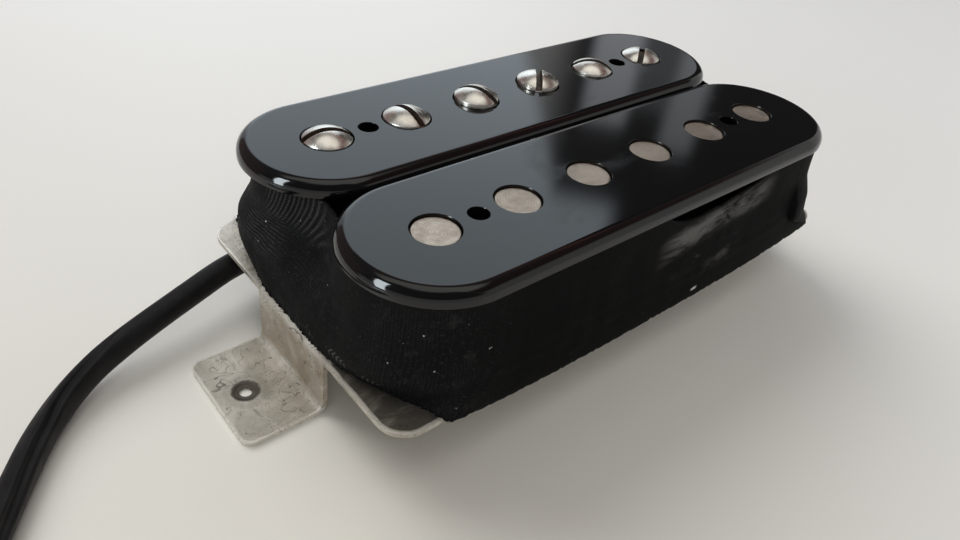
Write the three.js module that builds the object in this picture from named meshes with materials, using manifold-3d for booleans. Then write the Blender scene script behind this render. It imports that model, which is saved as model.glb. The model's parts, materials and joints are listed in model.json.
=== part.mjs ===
// A twin-coil guitar pickup with six adjustable pole screws, six fixed slugs and a four-conductor lead.
// Millimetres. X runs along the pole rows, Y points towards the screw row, Z is up.
// The origin is midway between the two rows, on the plane that the feet of the baseplate stand on.

import * as THREE from 'three';
import { mergeVertices } from 'three/addons/utils/BufferGeometryUtils.js';
import Module from 'manifold-3d';

const wasm = await Module();
wasm.setup();

// Pole field
const poleCount = 6;
const polePitch = 10;
const rowSpacing = 18.6;

// Baseplate, bent from one sheet
const sheetThickness = 0.5;
const underPlateHeight = 7;
const plateLength = 70;
const plateWidth = 37.2;
const plateCornerRadius = 3;
const legWidth = 12.9;
const bendRadius = 0.3;
const footReach = 8.4;
const footCornerRadius = 1.3;
const mountingHoleDiameter = 2.2;
const mountingHoleReach = 5.2;
const countersinkDiameter = 3.2;
const countersinkDepth = 0.25;
const screwTipHoleDiameter = 4;
const leadSlotLength = 6.4;
const leadSlotWidth = 4.4;

// Layer between the baseplate and the bobbins
const supportHeight = 3.2;
const barLength = 63.5;
const keeperWidth = 6.35;
const magnetWidth = 12.7;
const spacerWidth = 4.2;
const spacerLength = 50;
const spacerClearance = 0.3;

// Bobbins
const flangeRadius = 9.1;
const lowerFlangeInset = 0.1;
const topFlangeThickness = 1.6;
const lowerFlangeThickness = 1.2;
const windingHeight = 7.5;
const coreRadius = 3.6;
const topEdgeRadius = 1.3;
const boreDiameter = 2.2;
const counterboreDepth = 3;
const headClearance = 0.16;
const leadNotchWidth = 1.6;

// Windings and the wrap round each one
const windingRadius = 6.8;
const windingClearance = 0.05;
const wrapThickness = 0.2;

// Pole screws
const threadDiameter = 3.1;
const threadClearance = 0.12;
const shankLength = 15.9;
const tipChamfer = 0.5;
const headDiameter = 5.24;
const headSideHeight = 1.15;
const domeHeight = 1;
const slotWidth = 0.8;
const slotDepth = 1.35;
const usualApexHeight = 1.1;
const apexShares = [0.91, 1, 1.32, 1.32, 1.09, 0.955];
const slotTurns = [-14, 96, 112, 50, -45, 38];

// Slugs
const slugDiameter = 4.8;
const slugClearance = 0.06;
const slugRecess = 0.25;
const slugChamfer = 0.15;

// Screws that hold the bobbins to the baseplate
const bobbinScrewDiameter = 2;
const bobbinScrewLength = 9;
const bobbinScrewHeadDiameter = 3.8;
const bobbinScrewHeadHeight = 1.3;
const bobbinScrewRecessWidth = 0.6;
const bobbinScrewRecessDepth = 0.7;
const bobbinScrewClearance = 0.2;

// Cloth tape round both coils
const tapeThickness = 0.4;
const tapeTopGap = 0.1;
const tapeHemDrop = 1.5;
const tapeSagReach = 0.35;
const liftedEdgeDepth = 1.9;

// Lead
const jacketDiameter = 2.9;
const wireDiameter = 0.85;
const wireStep = 0.52;
const sleeveDiameter = 1.4;
const sleeveStep = 0.8;
const sleeveLength = 8;
const coilLeadDiameter = 0.8;
const leadTailHeight = 2;
const bareWireDiameter = 0.45;
const solderRadius = 0.9;
const solderHeight = 0.7;
const buttGap = 0.3;

// The length of lead that is put away, wound flat
const coilMiddle = [-87.8, 1.7];
const coilOuterRadius = 20.8;
const coilTurnPitch = 3.45;
const coilTurns = 2.25;
const coilEntryTurn = -60;
const coilEndDraw = 1.6;
const coilDrawTurns = 0.3;
const loopSteps = 24;

// Routes of the lead and of the wires, point by point
const jacketRoute = [
  [-26.3, 15.6, 4.4], [-30.6, 15.3, 4.4], [-35, 14.5, 4.3], [-39.6, 13.1, 3.95],
  [-44.2, 11.7, 3.4], [-48.2, 10.5, 2.8], [-51.6, 9.2, 2.2], [-55.2, 6.8, 1.75],
  [-58.2, 3.8, 1.5], [-60.6, 0.6, 1.45], [-62.7, -2.5, 1.45], [-65.3, -6.2, 1.45],
  [-68.5, -9.9, 1.45],
];
const wireRoute = [
  [-26, 4.4], [-24.6, 4.45], [-23.2, 5.1], [-22, 6.3], [-20.9, 7.5],
  [-19.6, 8.55], [-18, 9.05], [-14, 9.1], [-10, 9.1],
];
const slugLeadRoute = [
  [14, 14.8], [28, 14.8], [30.8, 14.2], [32.6, 12.5], [33.2, 9.6], [33.2, 0],
  [33.2, -9.3], [32.4, -12.8], [30.2, -15.6], [26.8, -16.9], [24, -17.05],
];
// The screen's route and its drop of solder, from the middle line of the slot for the wires
const shieldRoute = [[-26, -1.2, 4.4], [-25.2, -1.75, 4.6], [-24.4, -2.45, 5.2], [-23.7, -2.98, 5.8]];
const solderPlace = [-23.1, -3.38];
const farWires = [
  { name: 'lead_red', finish: 'wireRed', offset: [0.52, -0.52], diameter: 0.85, turn: 88, length: 17 },
  { name: 'lead_white', finish: 'wireWhite', offset: [0.52, 0.52], diameter: 0.85, turn: 110, length: 16 },
  { name: 'lead_green', finish: 'wireGreen', offset: [-0.52, 0.52], diameter: 0.85, turn: 136, length: 16.5 },
  { name: 'lead_black', finish: 'wireBlack', offset: [-0.52, -0.52], diameter: 0.85, turn: 158, length: 15 },
  { name: 'lead_shield', finish: 'tinnedWire', offset: [-1.2, 0], diameter: 0.45, turn: 165, length: 10.5 },
];
const restingGap = 0.05;
const fanSteps = 10;
const fanStraightShare = 0.12;
const fanFallShares = [0.15, 0.8];

// How finely curves are cut, and how far a cutting form runs past what it cuts
const arcSteps = 14;
const roundSteps = 16;
const smallRoundSteps = 10;
const domeSteps = 4;
const overrun = 1;

// Heights of the stack, from the feet up
const plateTop = underPlateHeight + sheetThickness;
const bobbinBottom = plateTop + supportHeight;
const windingBottom = bobbinBottom + lowerFlangeThickness;
const windingTop = windingBottom + windingHeight;
const bobbinTop = windingTop + topFlangeThickness;

// Places in the plan
const rowOffset = rowSpacing / 2;
const fieldReach = (poleCount - 1) * polePitch / 2;
const plateEnd = plateLength / 2;
const plateSide = plateWidth / 2;
const lowerFlangeRadius = flangeRadius - lowerFlangeInset;
const notchFloor = windingRadius + windingClearance + wrapThickness;
const boltReach = fieldReach - polePitch / 2;
const notchPlaces = { screw: [polePitch * 0.3, polePitch * 0.7], slug: [polePitch * 1.8, polePitch * 1.4] };
const poles = Array.from({ length: poleCount }, (_, i) => i * polePitch - fieldReach);

// Materials
const finishes = {
  glossPlastic: { color: 0x0b0c0e, roughness: 0.12, metalness: 0 },
  nickelSilver: { color: 0xb9b2a6, roughness: 0.35, metalness: 1 },
  nickelPlate: { color: 0xd2ccc2, roughness: 0.18, metalness: 1 },
  slugSteel: { color: 0xb5aea4, roughness: 0.4, metalness: 1 },
  mildSteel: { color: 0x7d7f82, roughness: 0.5, metalness: 1 },
  alnico: { color: 0x5d5c5a, roughness: 0.65, metalness: 0.8 },
  spacerPlastic: { color: 0x1a1a1b, roughness: 0.6, metalness: 0 },
  copperWinding: { color: 0x5a2417, roughness: 0.4, metalness: 0.6 },
  wrapTape: { color: 0x111112, roughness: 0.8, metalness: 0 },
  clothTape: { color: 0x141415, roughness: 0.85, metalness: 0 },
  jacket: { color: 0x17171a, roughness: 0.6, metalness: 0 },
  wireRed: { color: 0xa81e1a, roughness: 0.5, metalness: 0 },
  wireWhite: { color: 0xe4e2da, roughness: 0.5, metalness: 0 },
  wireGreen: { color: 0x1f7a3c, roughness: 0.5, metalness: 0 },
  wireBlack: { color: 0x1b1b1d, roughness: 0.5, metalness: 0 },
  tinnedWire: { color: 0xb8bbbd, roughness: 0.35, metalness: 1 },
  solder: { color: 0xa9acae, roughness: 0.3, metalness: 1 },
};
const materials = Object.fromEntries(
  Object.entries(finishes).map(([name, look]) => [name, new THREE.MeshStandardMaterial(look)]),
);

const pickup = new THREE.Group();
pickup.name = 'guitar_pickup';

function addPiece(name, geometry, finish, parent = pickup) {
  const mesh = new THREE.Mesh(geometry, materials[finish]);
  mesh.name = name;
  parent.add(mesh);
  return mesh;
}

// Booleans

function solidOf(geometry) {
  const bare = geometry.clone();
  bare.deleteAttribute('normal');
  bare.deleteAttribute('uv');
  const merged = mergeVertices(bare);
  return new wasm.Manifold(new wasm.Mesh({
    numProp: 3,
    vertProperties: new Float32Array(merged.attributes.position.array),
    triVerts: new Uint32Array(merged.index.array),
  }));
}

function geometryOf(solid) {
  const mesh = solid.getMesh();
  const geometry = new THREE.BufferGeometry();
  geometry.setAttribute('position', new THREE.BufferAttribute(mesh.vertProperties, 3));
  geometry.setIndex(new THREE.BufferAttribute(mesh.triVerts, 1));
  geometry.computeVertexNormals();
  return geometry;
}

function cutFrom(geometry, tools) {
  return geometryOf(tools.reduce((left, tool) => left.subtract(solidOf(tool)), solidOf(geometry)));
}

function joined(geometries) {
  const [first, ...others] = geometries.map(solidOf);
  return geometryOf(others.reduce((whole, other) => whole.add(other), first));
}

// Basic forms

function block(low, high) {
  const size = new THREE.Vector3().subVectors(high, low);
  const middle = new THREE.Vector3().addVectors(low, high).multiplyScalar(0.5);
  return new THREE.BoxGeometry(size.x, size.y, size.z).translate(middle.x, middle.y, middle.z);
}

// A round bar standing on Z, given by its outline as [radius, height] pairs from the bottom up.
function turned(outline, x = 0, y = 0, steps = roundSteps) {
  const [, bottom] = outline[0];
  const [, top] = outline[outline.length - 1];
  const profile = [[0, bottom], ...outline, [0, top]].map(([r, z]) => new THREE.Vector2(r, z));
  return new THREE.LatheGeometry(profile, steps).rotateX(Math.PI / 2).translate(x, y, 0);
}

function roundBar(diameter, bottom, top, x, y, steps = roundSteps) {
  return turned([[diameter / 2, bottom], [diameter / 2, top]], x, y, steps);
}

function roundedPlate(length, width, radius, bottom, height) {
  const shape = new THREE.Shape();
  const x = length / 2 - radius;
  const y = width / 2 - radius;
  shape.absarc(x, y, radius, 0, Math.PI / 2);
  shape.absarc(-x, y, radius, Math.PI / 2, Math.PI);
  shape.absarc(-x, -y, radius, Math.PI, Math.PI * 1.5);
  shape.absarc(x, -y, radius, Math.PI * 1.5, Math.PI * 2);
  const sweep = { depth: height, bevelEnabled: false, curveSegments: 6 };
  return new THREE.ExtrudeGeometry(shape, sweep).translate(0, 0, bottom);
}

// One closed loop of plan points with straight sides and round ends, as long as the pole field.
function stadium(radius, y) {
  const loop = [];
  for (const [x, first] of [[fieldReach, -Math.PI / 2], [-fieldReach, Math.PI / 2]]) {
    for (let i = 0; i <= arcSteps; i += 1) {
      const angle = first + Math.PI * i / arcSteps;
      loop.push([x + radius * Math.cos(angle), y + radius * Math.sin(angle)]);
    }
  }
  return loop;
}

// Skins equal rings of [x, y, z] points. A closed skin joins the last ring to the first,
// and an open one is capped at both ends.
function skinned(rings, closed) {
  const count = rings[0].length;
  const points = rings.flat(2);
  const faces = [];
  const last = closed ? rings.length : rings.length - 1;
  for (let k = 0; k < last; k += 1) {
    const low = k * count;
    const high = ((k + 1) % rings.length) * count;
    for (let i = 0; i < count; i += 1) {
      const next = (i + 1) % count;
      faces.push(low + i, low + next, high + next, low + i, high + next, high + i);
    }
  }
  if (!closed) {
    const flat = (ring) => ring.map(([x, y]) => new THREE.Vector2(x, y));
    const top = (rings.length - 1) * count;
    for (const [a, b, c] of THREE.ShapeUtils.triangulateShape(flat(rings[0]), [])) {
      faces.push(c, b, a);
      faces.push(top + a, top + b, top + c);
    }
  }
  const geometry = new THREE.BufferGeometry();
  geometry.setAttribute('position', new THREE.Float32BufferAttribute(points, 3));
  geometry.setIndex(faces);
  geometry.computeVertexNormals();
  return geometry;
}

// A form with round ends, skinned through [radius, height] pairs.
function stadiumForm(outline, y, closed = false) {
  const ring = ([radius, z]) => stadium(radius, y).map(([px, py]) => [px, py, z]);
  return skinned(outline.map(ring), closed);
}

// A round tube that takes its rings evenly along a path.
function tubeOn(path, diameter, sides, steps) {
  const section = new THREE.Shape();
  for (let i = 0; i < sides; i += 1) {
    const angle = (i + 0.5) * 2 * Math.PI / sides;
    const place = [Math.cos(angle) * diameter / 2, Math.sin(angle) * diameter / 2];
    if (i === 0) section.moveTo(...place);
    else section.lineTo(...place);
  }
  section.closePath();
  return new THREE.ExtrudeGeometry(section, { steps, extrudePath: path, bevelEnabled: false });
}

// A tube along a smooth route, with the given number of diameters between its rings.
function tubeAlong(places, diameter, sides, ringEvery) {
  const path = new THREE.CatmullRomCurve3(places, false, 'centripetal');
  return tubeOn(path, diameter, sides, Math.ceil(path.getLength() / (diameter * ringEvery)));
}

// A tube with a ring at about each of the places.
function tubeThrough(places, diameter, sides) {
  return tubeOn(new THREE.CatmullRomCurve3(places, false, 'centripetal'), diameter, sides, places.length - 1);
}

// Baseplate: a flat sheet with a leg and a threaded foot bent down at each end

const mountingHoleX = plateEnd + mountingHoleReach;
const footEnd = plateEnd + footReach;

function legProfile() {
  const outer = bendRadius + sheetThickness;
  const inner = plateEnd - sheetThickness;
  const shape = new THREE.Shape();
  shape.moveTo(inner - outer, underPlateHeight);
  shape.absarc(inner - bendRadius, underPlateHeight - bendRadius, bendRadius, Math.PI / 2, 0, true);
  shape.lineTo(inner, outer);
  shape.absarc(inner + outer, outer, outer, Math.PI, Math.PI * 1.5, false);
  shape.lineTo(footEnd, 0);
  shape.lineTo(footEnd, sheetThickness);
  shape.absarc(inner + outer, outer, bendRadius, Math.PI * 1.5, Math.PI, true);
  shape.lineTo(plateEnd, underPlateHeight - bendRadius);
  shape.absarc(inner - bendRadius, underPlateHeight - bendRadius, outer, 0, Math.PI / 2, false);
  shape.lineTo(inner - outer, plateTop);
  shape.closePath();
  return shape;
}

function leg(side) {
  const sweep = { depth: legWidth, bevelEnabled: false, curveSegments: 4 };
  const strip = new THREE.ExtrudeGeometry(legProfile(), sweep)
    .rotateX(Math.PI / 2)
    .translate(0, legWidth / 2, 0);
  const trim = roundedPlate(footEnd * 2, legWidth, footCornerRadius, -overrun, plateTop + overrun * 2);
  const bent = solidOf(strip).intersect(solidOf(trim));
  return geometryOf(bent).rotateZ(side > 0 ? 0 : Math.PI);
}

function mountingHole(side) {
  const bore = mountingHoleDiameter / 2;
  const mouth = countersinkDiameter / 2;
  const outline = [
    [bore, -overrun],
    [bore, sheetThickness - countersinkDepth],
    [mouth, sheetThickness],
    [mouth, sheetThickness + overrun],
  ];
  return turned(outline, side * mountingHoleX, 0);
}

const leadSlotX = -fieldReach + polePitch / 2 - leadSlotLength / 4;
const leadSlotY = (rowOffset + bobbinScrewHeadDiameter / 2 + plateSide) / 2 + sleeveStep * 0.85;
const boltPlaces = [[-1, 1], [1, 1], [-1, -1], [1, -1]].map(([x, y]) => [x * boltReach, y * rowOffset]);
const boltHoleDiameter = bobbinScrewDiameter + bobbinScrewClearance;

function baseplate() {
  const flat = roundedPlate(plateLength, plateWidth, plateCornerRadius, underPlateHeight, sheetThickness);
  const legEdge = plateEnd - sheetThickness - bendRadius - sheetThickness;
  const bendRoom = (side) => block(
    new THREE.Vector3(side > 0 ? legEdge : -plateEnd - overrun, -legWidth / 2, underPlateHeight - overrun),
    new THREE.Vector3(side > 0 ? plateEnd + overrun : -legEdge, legWidth / 2, plateTop + overrun),
  );
  const sheet = cutFrom(flat, [bendRoom(1), bendRoom(-1)]);
  const bent = joined([sheet, leg(1), leg(-1)]);
  const low = underPlateHeight - overrun;
  const high = plateTop + overrun;
  const slot = roundedPlate(leadSlotLength, leadSlotWidth, leadSlotWidth / 2, low, high - low)
    .translate(leadSlotX, leadSlotY, 0);
  return cutFrom(bent, [
    ...poles.map((x) => roundBar(screwTipHoleDiameter, low, high, x, rowOffset, smallRoundSteps)),
    ...boltPlaces.map(([x, y]) => roundBar(boltHoleDiameter, low, high, x, y, smallRoundSteps)),
    slot,
    mountingHole(1),
    mountingHole(-1),
  ]);
}
addPiece('baseplate', baseplate(), 'nickelSilver');

// Keeper bar, magnet and spacer between the baseplate and the bobbins

const barEnd = barLength / 2;
const keeperInner = rowOffset - keeperWidth / 2;
const slugInner = slugDiameter / 2 - rowOffset;
const slugOuter = -rowOffset - slugDiameter / 2;
const magnetMiddle = (keeperInner + slugInner) / 2;
const spacerInner = slugOuter - spacerClearance;

function bar(end, low, high) {
  return block(new THREE.Vector3(-end, low, plateTop), new THREE.Vector3(end, high, bobbinBottom));
}

const threadBore = threadDiameter + threadClearance * 2;
const throughBar = [plateTop - overrun, bobbinBottom + overrun];
const keeperHoles = [
  ...poles.map((x) => roundBar(threadBore, ...throughBar, x, rowOffset)),
  ...[-boltReach, boltReach].map((x) => (
    roundBar(boltHoleDiameter, ...throughBar, x, rowOffset, smallRoundSteps)
  )),
];
addPiece('keeper_bar', cutFrom(bar(barEnd, keeperInner, keeperInner + keeperWidth), keeperHoles), 'mildSteel');
addPiece('bar_magnet', bar(barEnd, magnetMiddle - magnetWidth / 2, magnetMiddle + magnetWidth / 2), 'alnico');
addPiece('spacer_bar', bar(spacerLength / 2, spacerInner - spacerWidth, spacerInner), 'spacerPlastic');

// Bobbins

function bobbinForm(y) {
  const rounding = Array.from({ length: 5 }, (_, i) => {
    const turn = i / 4 * Math.PI / 2;
    return [
      flangeRadius - topEdgeRadius * (1 - Math.cos(turn)),
      bobbinTop - topEdgeRadius * (1 - Math.sin(turn)),
    ];
  });
  return stadiumForm([
    [lowerFlangeRadius, bobbinBottom],
    [lowerFlangeRadius, windingBottom],
    [coreRadius, windingBottom],
    [coreRadius, windingTop],
    [flangeRadius, windingTop],
    ...rounding,
  ], y);
}

function boltBores(y) {
  return [-boltReach, boltReach].map((x) => (
    roundBar(boreDiameter, bobbinBottom - overrun, bobbinTop + overrun, x, y, smallRoundSteps)
  ));
}

// Notches in the outer edge of a lower flange, where the ends of the winding come down.
function leadNotches(side) {
  const rim = side * (rowOffset + lowerFlangeRadius + overrun);
  const floor = side * (rowOffset + notchFloor);
  return notchPlaces[side > 0 ? 'screw' : 'slug'].map((x) => block(
    new THREE.Vector3(x - leadNotchWidth / 2, Math.min(rim, floor), bobbinBottom - overrun),
    new THREE.Vector3(x + leadNotchWidth / 2, Math.max(rim, floor), windingBottom + windingClearance),
  ));
}

const headLedge = bobbinTop - counterboreDepth;
const headHole = headDiameter / 2 + headClearance;
const shankHole = threadDiameter / 2 + headClearance;

function screwHole(x) {
  return turned([
    [shankHole, bobbinBottom - overrun],
    [shankHole, headLedge],
    [headHole, headLedge],
    [headHole, bobbinTop + overrun],
  ], x, rowOffset);
}

function slugHole(x) {
  const bore = slugDiameter + slugClearance * 2;
  return roundBar(bore, bobbinBottom - overrun, bobbinTop + overrun, x, -rowOffset);
}

function bobbin(side, poleHole) {
  const y = side * rowOffset;
  return cutFrom(bobbinForm(y), [...poles.map(poleHole), ...boltBores(y), ...leadNotches(side)]);
}
addPiece('screw_bobbin', bobbin(1, screwHole), 'glossPlastic');
addPiece('slug_bobbin', bobbin(-1, slugHole), 'glossPlastic');

// Windings, each with its own wrap

function windingRing(inner, outer, y) {
  const low = windingBottom + windingClearance;
  const high = windingTop - windingClearance;
  return stadiumForm([[outer, low], [outer, high], [inner, high], [inner, low]], y, true);
}

for (const [name, y] of [['screw', rowOffset], ['slug', -rowOffset]]) {
  const wrapInner = windingRadius + windingClearance;
  const winding = windingRing(coreRadius + windingClearance, windingRadius, y);
  addPiece(`${name}_coil`, winding, 'copperWinding');
  addPiece(`${name}_coil_wrap`, windingRing(wrapInner, wrapInner + wrapThickness, y), 'wrapTape');
}

// Pole screws, each turned to its own height and angle

function poleScrew(apexHeight, slotTurn) {
  const apex = bobbinTop + apexHeight;
  const shoulder = apex - domeHeight;
  const underHead = shoulder - headSideHeight;
  const tip = underHead - shankLength;
  const shank = threadDiameter / 2;
  const head = headDiameter / 2;
  const domeRadius = (head ** 2 + domeHeight ** 2) / (2 * domeHeight);
  const dome = Array.from({ length: domeSteps }, (_, i) => {
    const radius = head * Math.cos(i / domeSteps * Math.PI / 2);
    return [radius, apex - domeRadius + Math.sqrt(domeRadius ** 2 - radius ** 2)];
  });
  const body = turned([
    [shank - tipChamfer, tip],
    [shank, tip + tipChamfer],
    [shank, underHead],
    [head, underHead],
    ...dome,
    [slotWidth / 4, apex],
  ]);
  const slot = block(
    new THREE.Vector3(-headDiameter, -slotWidth / 2, apex - slotDepth),
    new THREE.Vector3(headDiameter, slotWidth / 2, apex + overrun),
  ).rotateZ(THREE.MathUtils.degToRad(slotTurn));
  return cutFrom(body, [slot]);
}

poles.forEach((x, i) => {
  const screw = poleScrew(usualApexHeight * apexShares[i], slotTurns[i]);
  addPiece(`pole_screw_${i + 1}`, screw, 'nickelPlate').position.set(x, rowOffset, 0);
});

// Slugs, standing on the baseplate

poles.forEach((x, i) => {
  const top = bobbinTop - slugRecess;
  const radius = slugDiameter / 2;
  const outline = [
    [radius - slugChamfer, plateTop],
    [radius, plateTop + slugChamfer],
    [radius, top - slugChamfer],
    [radius - slugChamfer, top],
  ];
  addPiece(`slug_${i + 1}`, turned(outline), 'slugSteel').position.set(x, -rowOffset, 0);
});

// Bobbin screws, driven up through the baseplate

function bobbinScrew() {
  const shank = bobbinScrewDiameter / 2;
  const head = bobbinScrewHeadDiameter / 2;
  const bottom = underPlateHeight - bobbinScrewHeadHeight;
  const end = underPlateHeight + bobbinScrewLength;
  const body = turned([
    [head - bobbinScrewRecessWidth, bottom],
    [head, underPlateHeight - bobbinScrewHeadHeight / 2],
    [head, underPlateHeight],
    [shank, underPlateHeight],
    [shank, end - shank],
    [shank / 2, end],
  ], 0, 0, smallRoundSteps);
  const arm = bobbinScrewHeadDiameter * 0.3;
  const half = bobbinScrewRecessWidth / 2;
  const floor = bottom + bobbinScrewRecessDepth;
  return cutFrom(body, [
    block(new THREE.Vector3(-arm, -half, bottom - overrun), new THREE.Vector3(arm, half, floor)),
    block(new THREE.Vector3(-half, -arm, bottom - overrun), new THREE.Vector3(half, arm, floor)),
  ]);
}

boltPlaces.forEach(([x, y], i) => {
  addPiece(`bobbin_screw_${i + 1}`, bobbinScrew(), 'mildSteel').position.set(x, y, 0);
});

// Cloth tape: one band round both coils, narrow under the flanges, round at the lower flanges
// and square over the baseplate. Each outline runs clockwise from the front right.

const sideSteps = 10;
const endSteps = 20;

function spaced(path, steps) {
  return path.getSpacedPoints(steps).slice(0, -1).map((p) => [p.x, p.y]);
}

function straight(from, to, steps) {
  return spaced(new THREE.LineCurve(new THREE.Vector2(...from), new THREE.Vector2(...to)), steps);
}

// Round one pair of coil ends, from the slug coil to the screw coil on the left (side -1),
// and the other way on the right. The hollow is where the band dips between the coils.
function coilEnd(side, slugRadius, screwRadius, dipTurn, dip) {
  const left = new THREE.Path();
  const open = THREE.MathUtils.degToRad(dipTurn);
  const screwStart = [fieldReach + screwRadius * Math.cos(open), rowOffset - screwRadius * Math.sin(open)];
  left.absarc(fieldReach, -rowOffset, slugRadius, -Math.PI / 2, open, false);
  left.quadraticCurveTo(fieldReach + dip, 0, ...screwStart);
  left.absarc(fieldReach, rowOffset, screwRadius, -open, Math.PI / 2, false);
  const points = spaced(left, endSteps);
  if (side > 0) {
    const end = [fieldReach, rowOffset + screwRadius];
    return [end, ...points.slice(1).reverse()];
  }
  return points.map(([x, y]) => [-x, y]);
}

function coilOutline(slugRadii, screwRadii, dipTurn, dip) {
  const front = -rowOffset - slugRadii.side;
  const far = rowOffset + screwRadii.side;
  return [
    ...straight([fieldReach, front], [-fieldReach, front], sideSteps),
    ...coilEnd(-1, slugRadii.left, screwRadii.left, dipTurn, dip),
    ...straight([-fieldReach, far], [fieldReach, far], sideSteps),
    ...coilEnd(1, slugRadii.right, screwRadii.right, dipTurn, dip),
  ];
}

const topSnug = windingRadius + windingClearance + wrapThickness + tapeThickness + windingClearance * 4;
const topFull = flangeRadius - lowerFlangeInset * 3;
const waist = lowerFlangeRadius + tapeThickness + windingClearance * 2;
const topOutline = coilOutline(
  { side: topFull + lowerFlangeInset, left: topFull, right: topFull },
  { side: topFull - tapeThickness, left: topSnug, right: topFull - tapeThickness },
  38,
  polePitch * 0.42,
);
const waistOutline = coilOutline(
  { side: waist + lowerFlangeInset, left: waist, right: waist + tapeThickness * 2 },
  { side: waist + lowerFlangeInset, left: waist, right: waist },
  8,
  waist,
);

// The hem over the baseplate, in shares of the half length and half width of the plate. It goes round
// the flanges where they reach past the plate.
const hemReachX = Math.max(plateEnd, fieldReach + flangeRadius + tapeThickness);
const hemReachY = Math.max(plateSide, rowOffset + flangeRadius);
const hemEndShares = {
  left: [
    [0.85, -1.032], [0.866, -0.93], [0.912, -0.755], [0.957, -0.553], [0.985, -0.376], [0.992, -0.25],
    [0.992, 0.28], [0.972, 0.475], [0.945, 0.63], [0.93, 0.8], [0.9, 1.032],
  ],
  right: [
    [0.9, -1.032], [0.965, -0.95], [0.99, -0.8], [0.997, -0.5],
    [0.997, 0.5], [0.985, 0.85], [0.94, 1], [0.9, 1.032],
  ],
};

function hemEnd(side) {
  const shares = side > 0 ? [...hemEndShares.right].reverse() : hemEndShares.left;
  const path = new THREE.Path();
  shares.forEach(([x, y], i) => {
    const place = [side * x * hemReachX, y * hemReachY];
    if (i === 0) path.moveTo(...place);
    else path.lineTo(...place);
  });
  return spaced(path, endSteps);
}

function hemOutline() {
  const left = hemEnd(-1);
  const right = hemEnd(1);
  const corner = (shares) => [shares[0] * hemReachX, shares[1] * hemReachY];
  const last = (list) => list[list.length - 1];
  const [leftFarX, leftFarY] = corner(last(hemEndShares.left));
  return [
    ...straight(corner(hemEndShares.right[0]), left[0], sideSteps),
    ...left,
    ...straight([-leftFarX, leftFarY], right[0], sideSteps),
    ...right,
  ];
}

// Each level: its share of the height, how far it has come to the waist and then to the hem,
// and its share of the sag.
const tapeLevelShares = [
  [0, 0, 0, 0],
  [0.2, 0.12, 0, 0.1],
  [0.36, 0.3, 0, 0.2],
  [0.5, 0.72, 0, 0.3],
  [0.61, 1, 0, 0.4],
  [0.74, 1, 0.05, 0.9],
  [0.88, 1, 0.55, 0.8],
  [1, 1, 1, 0],
];

// The edge that has come away from the flange lies between the third and fifth poles.
const liftedMiddle = (poles[3] + poles[4]) / 2 - polePitch * 0.27;
const liftedReach = polePitch * 0.9;

function tapeTopAt([x, y]) {
  const share = (x - liftedMiddle) / liftedReach;
  const lifted = y < 0 && Math.abs(share) < 1;
  return windingTop - tapeTopGap - (lifted ? liftedEdgeDepth * (1 - share * share) : 0);
}

// The hem hangs past the long edges of the baseplate and lies on it elsewhere.
function tapeHemAt(hem, i) {
  const near = [-1, 0, 1].map((step) => hem[(i + step + hem.length) % hem.length]);
  const hangs = near.every(([, y]) => Math.abs(y) > plateSide + tapeThickness);
  return hangs ? plateTop - tapeHemDrop : plateTop;
}

function outward(ring, i) {
  const [ax, ay] = ring[(i + ring.length - 1) % ring.length];
  const [bx, by] = ring[(i + 1) % ring.length];
  const length = Math.hypot(bx - ax, by - ay);
  return [(ay - by) / length, (bx - ax) / length];
}

function clothTape() {
  const hem = hemOutline();
  const mix = (a, b, share) => a + (b - a) * share;
  const outside = tapeLevelShares.map(([down, toWaist, toHem, sag]) => {
    const plain = hem.map((end, i) => [0, 1].map((k) => (
      mix(mix(topOutline[i][k], waistOutline[i][k], toWaist), end[k], toHem)
    )));
    return plain.map(([x, y], i) => {
      const [nx, ny] = outward(plain, i);
      const z = mix(tapeTopAt(topOutline[i]), tapeHemAt(hem, i), down);
      return [x + nx * sag * tapeSagReach, y + ny * sag * tapeSagReach, z];
    });
  });
  const inside = outside.map((ring) => ring.map(([x, y, z], i) => {
    const [nx, ny] = outward(ring, i);
    return [x - nx * tapeThickness, y - ny * tapeThickness, z];
  }));
  return skinned([...outside, ...inside.reverse()], true);
}
addPiece('coil_tape', clothTape(), 'clothTape');

// The put-away length of lead, wound clockwise and inwards in one flat spiral. The last part of
// the spiral draws in, so that the end of the jacket is clear of the turn outside it.

const jacketRadius = jacketDiameter / 2;

function coilPlace(step) {
  const turns = step / loopSteps;
  const left = Math.max(0, 1 - (coilTurns - turns) / coilDrawTurns);
  const draw = coilEndDraw * left * left * (3 - 2 * left);
  const radius = coilOuterRadius - coilTurnPitch * turns - draw;
  const angle = THREE.MathUtils.degToRad(coilEntryTurn) - 2 * Math.PI * turns;
  return new THREE.Vector3(
    coilMiddle[0] + radius * Math.cos(angle),
    coilMiddle[1] + radius * Math.sin(angle),
    jacketRadius,
  );
}

function stepPast(from, heading, distance) {
  return from.clone().addScaledVector(heading, distance);
}

const lastStep = coilTurns * loopSteps;
const turnPlaces = Array.from({ length: lastStep + 1 }, (_, i) => coilPlace(i));
const entryHeading = new THREE.Vector3().subVectors(coilPlace(0.01), coilPlace(0)).normalize();
const exitHeading = new THREE.Vector3().subVectors(coilPlace(lastStep), coilPlace(lastStep - 0.01)).normalize();
const coilEntry = stepPast(turnPlaces[0], entryHeading, -jacketDiameter);
const coilExit = stepPast(turnPlaces[lastStep], exitHeading, jacketDiameter);
const wound = [coilEntry, ...turnPlaces, coilExit];
addPiece('cable_coil', tubeThrough(wound, jacketDiameter, 6), 'jacket');

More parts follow.
